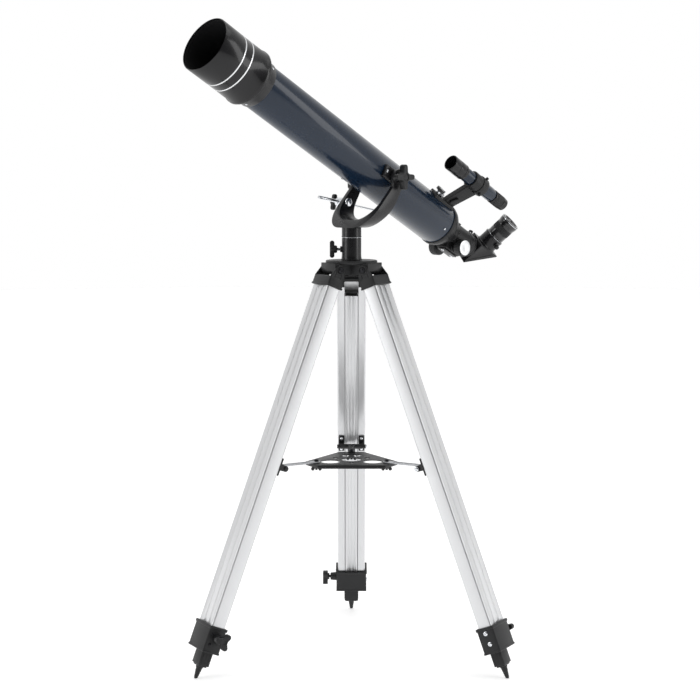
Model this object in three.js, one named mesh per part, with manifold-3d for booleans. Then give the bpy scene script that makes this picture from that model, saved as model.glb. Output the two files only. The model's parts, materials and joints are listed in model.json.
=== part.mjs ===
// A 70 mm refracting telescope on a yoke mount and a folding aluminium tripod.
// Millimetres, +Z up. The legs stand on Z = 0.

import * as THREE from 'three';
import { mergeVertices } from 'three/addons/utils/BufferGeometryUtils.js';
import Module from 'manifold-3d';

const wasm = await Module();
wasm.setup();

const degrees = Math.PI / 180;
const bigRound = 28;              // sides of the large, middling and small round shapes
const midRound = 18;
const smallRound = 10;
const gap = 0.3;                 // clearance between pieces that touch

// Tripod
const hingeHeight = 659;         // leg hinge axis above the ground
const hingeRadius = 36.5;        // leg hinge axis from the tripod's axis
const legTilt = 21.6 * degrees;  // each leg leans out by this much when it is open
const headTop = 674;
const lugHalfWidth = 24;         // half the width of a head lug, between the ears of a leg cap
const lugRadius = 8.5;
const earOutside = 27.4;         // outer face of a leg cap's ear, from the leg's middle
const legWidth = 50;             // outer leg section, across the leg
const legDepth = 25;             // outer leg section, in to out
const legWall = 1.8;
const slotHalfWidth = 12;        // the outer leg is open along its inner side
const outerLegTop = 17.3;        // distances down the leg from its hinge
const outerLegEnd = 640;
const innerLegTop = 48;
const innerLegEnd = 672;
const innerLegHalfWidth = 11.3;
const innerLegInside = -11.8;    // inner face of the inner leg, from the leg's centre plane
const innerLegOutside = 5.2;
const clampTop = 618;
const clampEnd = 660;
const clampScrewDown = 634;
const clampScrewIn = 3.3;
const footEnd = 686;
const tipEnd = 709.7;            // the cone's point, trimmed flat at the ground
const bracketDown = 338.5;       // spreader pin, down the leg and in from its centre plane
const bracketIn = 25;
const pinRadius = 2.2;
const armLength = 76;            // spreader arm, pin to inner end
const trayCorner = 77;           // tray corner from the tripod's axis
const trayCornerHalfWidth = 22;
const trayDeep = 6;
const trayPlate = 2.4;
const trayBoltRadius = 68;       // wing nut bolts from the tripod's axis
const legTurns = { left: 210, right: 330, back: 90 };
const pinFromAxis = hingeRadius + bracketDown * Math.sin(legTilt) - bracketIn * Math.cos(legTilt);
const pinHeight = hingeHeight - bracketDown * Math.cos(legTilt) - bracketIn * Math.sin(legTilt);
const trayTop = pinHeight + 0.9 - gap;

// Mount
const heading = 43.25 * degrees; // the mount is turned this much about the tripod's axis
const columnRadius = 16.3;
const columnTop = 711.4;
const lockHeight = 692;          // azimuth lock screw
const forkBase = 728;            // where the fork's leaning centre line leaves the azimuth axis
const forkLean = 35.5 * degrees;
const forkArm = 103;             // fork base to altitude axis, along the lean
const forkThick = 13;            // through the fork's base
const forkBoss = 13;             // radius of the round end of an arm
const forkInside = 45;           // half the room between the arms
const forkOutside = 52;
const spigotRadius = 8;
const altitudeX = forkArm * Math.sin(forkLean);
const forkRise = forkArm * Math.cos(forkLean);
const altitudeHeight = forkBase + forkRise;

// Telescope, measured along its axis from the altitude axis, eyepiece end positive
const tilt = 28.9 * degrees;     // elevation of the open end
const shieldFront = -421;
const shieldEnd = -322;
const shieldRadius = 46.6;
const tubeRadius = 38;
const tubeWall = 1.4;
const tubeFront = -316;
const tubeEnd = 167.5;
const cellEnd = -300;
const drawtubeRadius = 18.2;
const focusAt = 216;             // focus shaft
const focusBelow = 22.6;
const diagonalAt = 260.5;
const diagonalSide = 47;
const diagonalTurn = 39 * degrees;  // the eyepiece leans to the left by this much
const finderOut = 98.9;          // finder axis from the tube's axis
const finderRoll = 38.8 * degrees;  // finder bracket, from the top towards the left
const swivelBack = -25.8;        // slow-motion swivel on the right arm, from the altitude axis
const swivelDown = 42.9;
const rodEndAlong = 92;          // rod end on the tube, in the tube's own frame
const rodEndBelow = 19;
const rodPlane = 63;             // the rod runs this far to the right of the tube's axis

// Materials

function paint(color, roughness, metalness = 0) {
  return new THREE.MeshStandardMaterial({ color, roughness, metalness });
}

const blackPlastic = paint(0x2b2c2e, 0.5);
const satinBlack = paint(0x18191b, 0.38);
const glossBlack = paint(0x0c0d0f, 0.18);
const navyPaint = paint(0x0f1c2e, 0.16);
const aluminium = paint(0xc9ccd0, 0.35, 0.9);
const greySteel = paint(0xa6a9ad, 0.4, 0.8);
const chrome = paint(0xd8dbe0, 0.12, 1);
const glass = paint(0x6f93a8, 0.05);

// Solids

function solid(geometry) {
  const bare = geometry.clone();
  bare.deleteAttribute('normal');
  bare.deleteAttribute('uv');
  const merged = mergeVertices(bare);
  const corners = merged.index.array;
  const kept = [];
  for (let i = 0; i < corners.length; i += 3) {
    const [a, b, c] = corners.slice(i, i + 3);
    if (a !== b && b !== c && c !== a) {
      kept.push(a, b, c);
    }
  }
  return new wasm.Manifold(new wasm.Mesh({
    numProp: 3,
    vertProperties: new Float32Array(merged.attributes.position.array),
    triVerts: new Uint32Array(kept),
  }));
}

function geometryOf(body) {
  const mesh = body.getMesh();
  const geometry = new THREE.BufferGeometry();
  geometry.setAttribute('position', new THREE.BufferAttribute(mesh.vertProperties, 3));
  geometry.setIndex(new THREE.BufferAttribute(mesh.triVerts, 1));
  return geometry;
}

// Joins the first list of geometries and cuts the second from them.
function made(pieces, cuts = []) {
  let body = solid(pieces[0]);
  for (const piece of pieces.slice(1)) {
    body = body.add(solid(piece));
  }
  for (const tool of cuts) {
    body = body.subtract(solid(tool));
  }
  return geometryOf(body);
}

function box(x0, x1, y0, y1, z0, z1) {
  const geometry = new THREE.BoxGeometry(x1 - x0, y1 - y0, z1 - z0);
  return geometry.translate((x0 + x1) / 2, (y0 + y1) / 2, (z0 + z1) / 2);
}

// A solid turned about Z. The profile lists [radius, height] from the bottom outwards and up.
function spun(profile, sides = midRound) {
  const points = profile.map(([radius, height]) => new THREE.Vector2(radius, height));
  return new THREE.LatheGeometry(points, sides).rotateX(Math.PI / 2);
}

function pipe(outer, inner, z0, z1, sides = midRound) {
  return spun([[outer, z0], [outer, z1], [inner, z1], [inner, z0], [outer, z0]], sides);
}

function rod(radius, z0, z1, sides = smallRound) {
  return spun([[0, z0], [radius, z0], [radius, z1], [0, z1]], sides);
}

// Turns a shape made about Z so that it lies about X or Y.
function alongX(geometry) {
  return geometry.rotateY(Math.PI / 2);
}

function alongY(geometry) {
  return geometry.rotateX(-Math.PI / 2);
}

function outline(points) {
  return new THREE.Shape(points.map(([x, y]) => new THREE.Vector2(x, y)));
}

function slab(shape, z0, z1, curveSegments = 6) {
  const settings = { depth: z1 - z0, bevelEnabled: false, curveSegments };
  return new THREE.ExtrudeGeometry(shape, settings).translate(0, 0, z0);
}

// A slab drawn in the X-Z plane and thick along Y.
function sideSlab(shape, y0, y1, curveSegments = 6) {
  return slab(shape, -y1, -y0, curveSegments).rotateX(Math.PI / 2);
}

// A hand knob about Z: a hub and evenly spaced lobes.
function lobedKnob(lobes, reach, hub, z0, z1) {
  const pieces = [rod(hub, z0, z1, midRound)];
  for (let i = 0; i < lobes; i += 1) {
    const lobe = box(0, reach, -hub * 0.42, hub * 0.42, z0 + 0.8, z1 - 0.8);
    pieces.push(lobe.rotateZ(i * 2 * Math.PI / lobes));
  }
  return pieces;
}

function named(name, material, geometry, parent) {
  const mesh = new THREE.Mesh(geometry, material.clone());
  mesh.name = name;
  parent.add(mesh);
  return mesh;
}

// Tripod head and column

function lugOutline() {
  const shape = new THREE.Shape();
  shape.moveTo(0, hingeHeight - lugRadius);
  shape.lineTo(hingeRadius, hingeHeight - lugRadius);
  shape.absarc(hingeRadius, hingeHeight, lugRadius, -Math.PI / 2, 0);
  shape.lineTo(hingeRadius + lugRadius, headTop - 5);
  shape.lineTo(0, headTop - 5);
  return shape;
}

function tripodHead(parent) {
  const under = headTop - 5.8;
  const pieces = [
    spun([[0, under], [42.5, under], [43.5, headTop - 1.5], [42, headTop], [0, headTop]]),
    rod(22, hingeHeight - 11, headTop - 2, midRound),
  ];
  const cuts = [rod(3.2, hingeHeight - 20, headTop + 5)];
  for (const turn of Object.values(legTurns)) {
    const bore = alongY(rod(3.4, -40, 40)).translate(hingeRadius, 0, hingeHeight);
    pieces.push(sideSlab(lugOutline(), -lugHalfWidth, lugHalfWidth).rotateZ(turn * degrees));
    cuts.push(bore.rotateZ(turn * degrees));
  }
  named('tripod_head', blackPlastic, made(pieces, cuts), parent);
}

function azimuthColumn(parent) {
  const wall = spun([
    [columnRadius + 1.5, headTop + gap], [columnRadius + 0.3, headTop + 5], [columnRadius, headTop + 8],
    [columnRadius, columnTop], [spigotRadius + gap, columnTop], [spigotRadius + gap, headTop + gap],
    [columnRadius + 1.5, headTop + gap],
  ]);
  const screwHole = alongX(rod(2.9, -30, 0)).translate(0, 0, lockHeight);
  named('azimuth_column', satinBlack, made([wall], [screwHole]), parent);
}

function azimuthLockKnob(parent) {
  const pieces = [
    rod(2.6, spigotRadius + 0.5, 26),
    rod(6.5, 24, 36),
    box(-14.5, 14.5, -4, 4, 28, 36),
  ];
  const geometry = made(pieces).rotateY(-Math.PI / 2).translate(0, 0, lockHeight);
  named('azimuth_lock_knob', blackPlastic, geometry, parent);
}

// One leg, drawn with its hinge at the origin, its length down -Z and its outer face at +X

// The room that an outer leg takes, with a gap all round
function legRoom(z0, z1) {
  const deep = legDepth / 2 + gap;
  const wide = legWidth / 2 + gap;
  return box(-deep, deep, -wide, wide, z0, z1);
}

function legCap(name, parent) {
  const ear = new THREE.Shape();
  ear.moveTo(-14, -17);
  ear.lineTo(14.5, -17);
  ear.lineTo(lugRadius, 2);
  ear.absarc(0, 0, lugRadius, 0.2, Math.PI - 0.2);
  const pieces = [
    sideSlab(ear, lugHalfWidth + gap, earOutside),
    sideSlab(ear, -earOutside, -lugHalfWidth - gap),
    box(-14, 14.5, -earOutside, earOutside, -30.5, -13.5),
  ];
  const socket = legRoom(-50, -outerLegTop + gap);
  const slot = box(-20, -5, -slotHalfWidth, slotHalfWidth, -50, -20);
  const bore = alongY(rod(3.4, -40, 40));
  named(name, blackPlastic, made(pieces, [socket, slot, bore]), parent);
}

function hingeBolt(name, parent) {
  const profile = [
    [0, -31], [5.2, -31], [5.2, -27.7], [3.1, -27.7], [3.1, 27.7], [5.2, 27.7], [5.2, 31], [0, 31],
  ];
  named(name, satinBlack, made([alongY(spun(profile, smallRound))]), parent);
}

function outerLeg(name, parent) {
  const deep = legDepth / 2;
  const wide = legWidth / 2;
  const corner = 3;
  const section = outline([
    [-deep, -slotHalfWidth], [-deep, -wide + corner], [-deep + corner, -wide], [deep - corner, -wide],
    [deep, -wide + corner], [deep, wide - corner], [deep - corner, wide], [-deep + corner, wide],
    [-deep, wide - corner], [-deep, slotHalfWidth], [-deep + legWall, slotHalfWidth],
    [-deep + legWall, wide - legWall], [deep - legWall, wide - legWall],
    [deep - legWall, -wide + legWall], [-deep + legWall, -wide + legWall],
    [-deep + legWall, -slotHalfWidth],
  ]);
  named(name, aluminium, made([slab(section, -outerLegEnd, -outerLegTop)]), parent);
}

function innerLeg(name, parent) {
  const section = (inset) => {
    const wide = innerLegHalfWidth - inset;
    const inside = innerLegInside + inset;
    const outside = innerLegOutside - inset;
    return outline([[inside, -wide], [outside, -wide], [outside, wide], [inside, wide]]);
  };
  const shape = section(0);
  shape.holes.push(section(1.4));
  named(name, aluminium, made([slab(shape, -innerLegEnd, -innerLegTop)]), parent);
}

// The room that an inner leg takes
function innerLegRoom(margin, z0, z1) {
  const wide = innerLegHalfWidth + margin;
  return box(innerLegInside - margin, innerLegOutside + margin, -wide, wide, z0, z1);
}

function foot(name, parent) {
  const middle = (innerLegInside + innerLegOutside) / 2;
  const point = spun([
    [0, -tipEnd], [2.2, -tipEnd + 0.6], [4.6, -footEnd - 4], [5, -footEnd + 1], [0, -footEnd + 1],
  ], smallRound);
  const pieces = [
    innerLegRoom(1.4, -footEnd + 2, -clampEnd - gap),
    innerLegRoom(0, -footEnd, -footEnd + 3),
    point.translate(middle, 0, 0),
  ];
  const socket = innerLegRoom(gap, -innerLegEnd - gap, -clampEnd + 5);
  const ground = box(-300, 300, -60, 60, -hingeHeight - 30, -hingeHeight).rotateY(legTilt);
  named(name, blackPlastic, made(pieces, [socket, ground]), parent);
}

function legClamp(name, parent) {
  const pieces = [
    box(-15.3, 15.3, -27.6, 27.6, -clampEnd, -clampTop),
    box(-16.2, 16.2, -28.8, 28.8, -clampTop - 3, -clampTop + 2),
    alongY(rod(7, 27, 39)).translate(-clampScrewIn, 0, -clampScrewDown),
  ];
  const cuts = [
    legRoom(-outerLegEnd - gap, -clampTop + 10),
    innerLegRoom(0.5, -clampEnd - 5, -clampTop),
    alongY(rod(3.2, 5, 50)).translate(-clampScrewIn, 0, -clampScrewDown),
    box(-20, -5, -slotHalfWidth, slotHalfWidth, -clampTop - 0.1, -clampTop + 5),
  ];
  named(name, blackPlastic, made(pieces, cuts), parent);
}

function clampKnob(name, parent) {
  const pieces = [rod(2.9, 25.5, 46), ...lobedKnob(3, 15, 6.5, 44, 53)].map(alongY);
  named(name, blackPlastic, made(pieces).translate(-clampScrewIn, 0, -clampScrewDown), parent);
}

function legBracket(name, parent) {
  const face = bracketIn - legDepth / 2 - gap;
  const ear = new THREE.Shape();
  ear.moveTo(face, -8);
  ear.lineTo(face, 8);
  ear.lineTo(0, 5);
  ear.absarc(0, 0, 5, Math.PI / 2, 3 * Math.PI / 2);
  const half = [
    box(face - 2.2, face, 12.8, 23, -15, 15),
    sideSlab(ear, 20.8, 23),
    alongY(rod(3.6, 23, 25.5)),
  ];
  const otherHalf = half.map((piece) => piece.clone().rotateX(Math.PI));
  const pieces = [alongY(rod(pinRadius, -24.5, 24.5)), ...half, ...otherHalf];
  named(name, satinBlack, made(pieces).translate(-bracketIn, 0, -bracketDown), parent);
}

// The arm is drawn level, then turned so that it is level when its leg is open.
function spreaderArm(name, material, parent) {
  const pieces = [
    alongY(rod(4.4, -19.5, 19.5)),
    box(-armLength, 0, -6.5, 6.5, 0.9, 3.3),
  ];
  const cuts = [
    alongY(rod(pinRadius + gap, -30, 30)),
    rod(2.6, -10, 10).translate(trayBoltRadius - pinFromAxis, 0, 0),
  ];
  const arm = named(name, material, made(pieces, cuts), parent);
  arm.position.set(-bracketIn, 0, -bracketDown);
  arm.rotation.y = legTilt;
}

function tripodLeg(side, turn, root) {
  const direction = new THREE.Group();
  direction.rotation.z = turn * degrees;
  root.add(direction);
  const leg = new THREE.Group();
  leg.position.set(hingeRadius, 0, hingeHeight);
  leg.rotation.y = -legTilt;
  direction.add(leg);
  legCap(`leg_cap_${side}`, leg);
  hingeBolt(`leg_hinge_bolt_${side}`, leg);
  outerLeg(`outer_leg_${side}`, leg);
  innerLeg(`inner_leg_${side}`, leg);
  foot(`foot_${side}`, leg);
  legClamp(`leg_clamp_${side}`, leg);
  clampKnob(`clamp_knob_${side}`, leg);
  legBracket(`leg_bracket_${side}`, leg);
  spreaderArm(`spreader_arm_${side}`, side === 'back' ? satinBlack : greySteel, leg);
}

// Accessory tray

function trayOutline(inset) {
  const points = [];
  for (const turn of [90, 210, 330]) {      // in order round the outline
    for (const side of [-1, 1]) {
      const along = trayCorner - inset;
      const across = side * (trayCornerHalfWidth - inset * Math.tan(30 * degrees));
      const a = turn * degrees;
      points.push([
        along * Math.cos(a) - across * Math.sin(a),
        along * Math.sin(a) + across * Math.cos(a),
      ]);
    }
  }
  return outline(points);
}

function accessoryTray(parent) {
  const shape = trayOutline(0);
  const round = (radius, distance, turn) => {
    const hole = new THREE.Path();
    const x = distance * Math.cos(turn * degrees);
    const y = distance * Math.sin(turn * degrees);
    hole.absarc(x, y, radius, 0, 2 * Math.PI);
    return hole;
  };
  shape.holes.push(round(16, 0, 0));
  for (const turn of Object.values(legTurns)) {
    shape.holes.push(round(15.5, 41, turn), round(5, 31, turn + 60), round(2.6, trayBoltRadius, turn));
  }
  const plate = slab(shape, trayTop - trayPlate, trayTop, 8);
  const rim = trayOutline(0);
  rim.holes.push(trayOutline(2));
  const border = slab(rim, trayTop - trayDeep, trayTop - 1);
  named('accessory_tray', blackPlastic, made([plate, border]), parent);
}

function wingNut(side, parent) {
  const top = trayTop + 3.6;
  const under = trayTop - trayPlate - gap;
  const pieces = [
    rod(2.2, under - 9, top + 1),
    rod(4.2, top + gap, top + 3),
    rod(5.2, under - 6, under),
    box(-9, 9, -1.6, 1.6, under - 10, under - 3.6),
  ];
  const nut = named(`wing_nut_${side}`, satinBlack, made(pieces), parent);
  const turn = legTurns[side] * degrees;
  nut.position.set(trayBoltRadius * Math.cos(turn), trayBoltRadius * Math.sin(turn), 0);
  nut.rotation.z = turn + Math.PI / 2;
}

// Yoke, drawn with +X towards the eyepiece, +Y to the telescope's right

// The U of the fork as seen along the telescope, with heights from the fork's base
function forkOutline() {
  const innerCorner = 34;
  const outerCorner = 36;
  const innerMiddle = forkInside - innerCorner;
  const outerMiddle = forkOutside - outerCorner;
  const innerRise = forkThick + innerCorner;
  const shape = new THREE.Shape();
  shape.moveTo(forkOutside, forkRise);
  shape.lineTo(forkInside, forkRise);
  shape.absarc(innerMiddle, innerRise, innerCorner, 0, -Math.PI / 2, true);
  shape.absarc(-innerMiddle, innerRise, innerCorner, -Math.PI / 2, -Math.PI, true);
  shape.lineTo(-forkInside, forkRise);
  shape.lineTo(-forkOutside, forkRise);
  shape.absarc(-outerMiddle, outerCorner, outerCorner, Math.PI, 1.5 * Math.PI);
  shape.absarc(outerMiddle, outerCorner, outerCorner, 1.5 * Math.PI, 2 * Math.PI);
  return shape;
}

// The leaning band of the fork as seen from the side: straight in front, curving up behind
function forkSide() {
  const shape = new THREE.Shape();
  shape.moveTo(-22, -6);
  shape.lineTo(11, -6);
  shape.lineTo(34.5, 18.7);
  shape.quadraticCurveTo(62.5, 48, altitudeX + forkBoss, forkRise);
  shape.lineTo(altitudeX - forkBoss, forkRise);
  shape.lineTo(altitudeX - forkBoss, 68);
  return shape;
}

function yokeFork(parent) {
  const strap = slab(forkOutline(), -30, 80, smallRound).rotateZ(Math.PI / 2).rotateY(Math.PI / 2);
  const band = sideSlab(forkSide(), -forkOutside - 1, forkOutside + 1);
  const fork = geometryOf(solid(strap).intersect(solid(band))).translate(0, 0, forkBase);
  const ends = [[forkInside, forkOutside + 1.5], [-forkOutside - 1.5, -forkInside]];
  const bosses = ends.map(([y0, y1]) => (
    alongY(rod(forkBoss, y0, y1, midRound)).translate(altitudeX, 0, altitudeHeight)));
  const studHole = alongY(rod(3.4, -60, 60)).translate(altitudeX, 0, altitudeHeight);
  const collar = spun([
    [0, columnTop + gap], [columnRadius + 0.4, columnTop + gap], [columnRadius + 0.4, columnTop + 2],
    [columnRadius, columnTop + 3], [columnRadius, forkBase], [columnRadius - 2.3, forkBase + 2],
    [0, forkBase + 2],
  ]);
  const spigot = rod(spigotRadius, headTop + 1, columnTop + 3, midRound);
  const swivelCuts = [rod(4.3, 30, 60), rod(8.2, 30, forkInside)].map(alongY);
  for (const cut of swivelCuts) {
    cut.translate(altitudeX + swivelBack, 0, altitudeHeight - swivelDown);
  }
  const geometry = made([fork, ...bosses, collar, spigot], [studHole, ...swivelCuts]);
  named('yoke_fork', satinBlack, geometry, parent);
}

function altitudeKnob(name, side, parent) {
  const pieces = [
    rod(3, tubeRadius + 2.6, 60),
    rod(7.5, forkOutside + 1.8, 58),
    ...lobedKnob(4, 21, 8.5, 57, 70),
  ].map(alongY);
  const knob = named(name, blackPlastic, made(pieces), parent);
  knob.rotation.z = side > 0 ? 0 : Math.PI;
}

// The rod end on the tube, from the swivel: forwards and down
const rodRun = rodEndAlong * Math.cos(tilt) - rodEndBelow * Math.sin(tilt) - swivelBack;
const rodFall = rodEndAlong * Math.sin(tilt) + rodEndBelow * Math.cos(tilt) - swivelDown;
const rodRise = Math.atan2(rodFall, rodRun);

// Bolt through the right arm with the cross-drilled swivel that the slow-motion rod slides in
function rodSwivel(parent) {
  const pieces = [
    spun([[0, 40.5], [4, 40.8], [6.5, 42.2], [7.5, 44.6], [7.5, 44.7], [0, 44.7]]),
    rod(4, 44.5, 54),
    rod(8, 52.4, 71, midRound),
  ].map(alongY);
  const way = alongX(rod(3.3, -20, 20)).translate(0, rodPlane, 0);
  const knobHole = alongY(rod(2.9, 67, 80));
  const swivel = named('rod_swivel', chrome, made(pieces, [way, knobHole]), parent);
  swivel.position.set(swivelBack, 0, -swivelDown);
  swivel.rotation.y = rodRise;
}

function rodClampKnob(parent) {
  const pieces = [rod(2.5, 68, 78), rod(6, 76, 84), box(-14, 14, -3.2, 3.2, 77, 84)].map(alongY);
  const knob = named('rod_clamp_knob', blackPlastic, made(pieces), parent);
  knob.position.set(swivelBack, 0, -swivelDown);
  knob.rotation.y = Math.PI / 2 + rodRise;
}

function altitudeRod(parent) {
  const reach = Math.hypot(rodRun, rodFall);
  const pieces = [
    alongX(rod(3, -52, reach - 70)).translate(0, rodPlane, 0),
    alongX(rod(1.9, reach - 72, reach - 4)).translate(0, rodPlane, 0),
    alongY(rod(5, rodPlane - 2.2, rodPlane + 2.2)).translate(reach, 0, 0),
  ];
  const bar = named('altitude_rod', chrome, made(pieces), parent);
  bar.position.set(swivelBack, 0, -swivelDown);
  bar.rotation.y = rodRise;
}

// Telescope, drawn with its axis along X and its top at +Z

function mainTube(parent) {
  const tube = alongX(pipe(tubeRadius, tubeRadius - tubeWall, tubeFront, tubeEnd, bigRound));
  named('main_tube', navyPaint, made([tube]), parent);
}

function dewShield(parent) {
  const inner = shieldRadius - 1.4;
  const profile = [
    [shieldRadius - 0.5, shieldFront], [shieldRadius, shieldFront + 0.8],
    [shieldRadius + 0.4, shieldEnd - 5], [shieldRadius + 1.6, shieldEnd - 3.5],
    [shieldRadius + 1.6, shieldEnd], [inner, shieldEnd], [inner, shieldFront],
    [shieldRadius - 0.5, shieldFront],
  ];
  named('dew_shield', glossBlack, made([alongX(spun(profile, bigRound))]), parent);
}

function objectiveCell(parent) {
  const profile = [
    [44.9, -342], [44.9, -321.7], [46.2, -321.7], [46.2, -318.4], [39.8, -317], [39.8, cellEnd],
    [tubeRadius + gap, cellEnd], [tubeRadius + gap, -317], [34.5, -317], [34.5, -325], [36.8, -325],
    [36.8, -342], [44.9, -342],
  ];
  named('objective_cell', satinBlack, made([alongX(spun(profile, bigRound))]), parent);
}

function objectiveLens(parent) {
  const profile = [
    [0, -339], [14, -338.6], [26, -337.6], [36.4, -336], [36.4, -325.5], [26, -324.7], [14, -324.2],
    [0, -324],
  ];
  named('objective_lens', glass, made([alongX(spun(profile))]), parent);
}

function pivotPlate(name, side, parent) {
  const saddle = box(-26, 18, tubeRadius - 12, 44.6, -11, 11);
  const tube = alongX(rod(tubeRadius + gap, -60, 60, bigRound));
  const studHole = alongY(rod(3.3, 30, 60));
  const plate = named(name, satinBlack, made([saddle], [tube, studHole]), parent);
  plate.rotation.x = side > 0 ? 0 : Math.PI;
}

function rodBracket(parent) {
  const arm = box(-5, 5, tubeRadius - 10, rodPlane - 3, -2.5, 2.5);
  const plate = box(-6, 6, rodPlane - 5.2, rodPlane - 2.8, -7, 16);
  const tube = alongX(rod(tubeRadius + gap, -60, 60, bigRound)).translate(0, 0, rodEndBelow);
  const bracket = named('rod_bracket', greySteel, made([arm, plate], [tube]), parent);
  bracket.position.set(rodEndAlong, 0, -rodEndBelow);
}

function focuserBody(parent) {
  const profile = [
    [tubeRadius - tubeWall - gap, tubeEnd - 14], [tubeRadius - tubeWall - gap, tubeEnd + gap],
    [tubeRadius + 1, tubeEnd + gap], [tubeRadius + 1, 174.5], [36.5, 181], [31, 188], [25.5, 199],
    [21.8, 204], [21.8, 245], [drawtubeRadius + gap, 245], [drawtubeRadius + gap, 190], [33, 178],
    [33, tubeEnd - 14],
    [tubeRadius - tubeWall - gap, tubeEnd - 14],
  ];
  const housing = box(focusAt - 19, focusAt + 19, -12, 12, -32, -12);
  const cuts = [
    alongX(rod(drawtubeRadius + gap, 180, 260, midRound)),
    box(170, 250, -3.4, 3.4, -drawtubeRadius - 1.6, -10),
    alongY(rod(3.3, -40, 40)).translate(focusAt, 0, -focusBelow),
    alongY(rod(7.6, -7, 7)).translate(focusAt, 0, -focusBelow),
  ];
  const body = made([alongX(spun(profile)), housing], cuts);
  named('focuser_body', blackPlastic, body, parent);
}

function drawtube(parent) {
  const tube = alongX(pipe(drawtubeRadius, 16.2, 150, 247));
  const collar = alongX(pipe(21, 16.2, 245.5, 258.5));
  const rack = box(152, 232, -3, 3, -drawtubeRadius - 1.2, -drawtubeRadius + 0.5);
  const rackCut = box(focusAt - 10, focusAt + 10, -8, 8, -drawtubeRadius - 3, -drawtubeRadius - 1.3);
  const screwHole = rod(2.3, 10, 30).translate(252, 0, 0);
  named('drawtube', satinBlack, made([tube, collar, rack], [rackCut, screwHole]), parent);
}

function focusShaft(parent) {
  const profile = [
    [0, -38], [13.3, -38], [15, -36.5], [15, -23.5], [13, -22], [6, -22], [6, -18], [2.9, -17],
    [2.9, 17], [6, 18], [6, 22], [13, 22], [15, 23.5], [15, 36.5], [13.3, 38], [0, 38],
  ];
  const shaft = named('focus_shaft', blackPlastic, made([alongY(spun(profile))]), parent);
  shaft.position.set(focusAt, 0, -focusBelow);
}

function pinionCover(parent) {
  const plate = box(focusAt - 18, focusAt + 16, -8.5, 8.5, -34.6, -32 - gap);
  const heads = [-13, 11].map((x) => rod(2.6, -36, -34).translate(focusAt + x, 0, 0));
  named('pinion_cover', satinBlack, made([plate, ...heads]), parent);
}

function thumbScrew(name, length, parent) {
  const pieces = [rod(1.9, 0, length - 4), rod(4, length - 5, length)];
  return named(name, blackPlastic, made(pieces), parent);
}

function starDiagonal(parent) {
  const half = diagonalSide / 2;
  const prism = outline([[0, -half], [diagonalSide, half], [0, half]]);
  const cavity = outline([[2, -half + 7], [diagonalSide - 9, half - 2], [2, half - 2]]);
  const pieces = [
    sideSlab(prism, -19.5, 19.5),
    alongX(rod(15.8, -26, 1, midRound)),
    rod(18.6, half - 1, half + 22, midRound).translate(half, 0, 0),
  ];
  const cuts = [
    sideSlab(cavity, -17.5, 17.5),
    alongX(rod(14, -30, 5, midRound)),
    rod(16.1, half - 5, half + 30, midRound).translate(half, 0, 0),
    alongY(rod(2.3, -30, -10)).translate(half, 0, half + 14),
  ];
  named('star_diagonal', satinBlack, made(pieces, cuts), parent);
}

function eyepiece(parent) {
  const start = diagonalSide / 2 + 1;
  const profile = [
    [15.8, start], [15.8, 46.3], [16.9, 46.3], [17.2, 72], [18.2, 82], [18.2, 85], [14.5, 85.5], [11, 81],
    [0, 81], [0, start + 20], [13.5, start + 20], [13.5, start], [15.8, start],
  ];
  const body = named('eyepiece', satinBlack, made([spun(profile)]), parent);
  body.position.x = diagonalSide / 2;
}

function diagonalGroup(parent) {
  const group = new THREE.Group();
  group.position.x = diagonalAt;
  group.rotation.x = diagonalTurn;
  parent.add(group);
  starDiagonal(group);
  eyepiece(group);
  const screw = thumbScrew('eyepiece_thumb_screw', 11, group);
  screw.geometry.rotateX(Math.PI / 2);
  screw.position.set(diagonalSide / 2, -16.1, diagonalSide / 2 + 14);
}

// Finder, drawn about its own axis and placed beside the main tube

function finderTube(parent) {
  const profile = [
    [13.6, 88.5], [13.9, 90], [13.9, 121], [12, 124], [12, 203], [10.8, 204], [10.8, 208], [9.4, 208],
    [9.4, 126], [12.4, 118], [12.4, 88.5], [13.6, 88.5],
  ];
  named('finder_tube', navyPaint, made([alongX(spun(profile))]), parent);
}

function finderLens(parent) {
  named('finder_lens', glass, made([alongX(rod(12.1, 112, 117, midRound))]), parent);
}

function finderEyepiece(parent) {
  const profile = [
    [0, 200], [9.1, 200], [9.1, 209], [11.9, 209], [12.1, 214], [11.6, 234], [10.8, 242], [7.5, 242.4],
    [6, 240], [0, 240],
  ];
  named('finder_eyepiece', satinBlack, made([alongX(spun(profile))]), parent);
}

function finderBracket(parent) {
  const ringFront = alongX(pipe(15.2, 12.3, 146, 166));
  const ringRear = alongX(pipe(16.4, 12.3, 165.5, 180));
  const foot = tubeRadius + gap - finderOut;
  const stalk = outline([
    [137, foot - 3], [160, foot - 3], [162, foot + 8], [179, -13], [149, -13], [139, foot + 12],
  ]);
  const pieces = [
    ringFront, ringRear, sideSlab(stalk, -6, 6),
    box(112, 162, -11, 11, foot - 6, foot + 4),
  ];
  const cuts = [
    alongX(rod(tubeRadius + gap, 60, 200, bigRound)).translate(0, 0, -finderOut),
    alongX(rod(12.3, 140, 190, midRound)),
    rod(2.4, foot - 10, foot + 10).translate(118, 0, 0),
    rod(2.4, foot - 10, foot + 10).translate(127, 0, 0),
  ];
  named('finder_bracket', satinBlack, made(pieces, cuts), parent);
}

function bracketNut(name, material, x, parent) {
  const base = tubeRadius + gap - finderOut + 4;
  const nut = made([rod(2, base - 3.4, base + 9), rod(4.4, base + gap, base + 5.5)]);
  named(name, material, nut.translate(x, 0, 0), parent);
}

function finderGroup(parent) {
  const roll = new THREE.Group();
  roll.rotation.x = finderRoll;
  parent.add(roll);
  const group = new THREE.Group();
  group.position.z = finderOut;
  roll.add(group);
  finderTube(group);
  finderLens(group);
  finderEyepiece(group);
  finderBracket(group);
  bracketNut('finder_nut_front', satinBlack, 118, group);
  bracketNut('finder_nut_rear', greySteel, 127, group);
}

// Assembly

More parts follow.
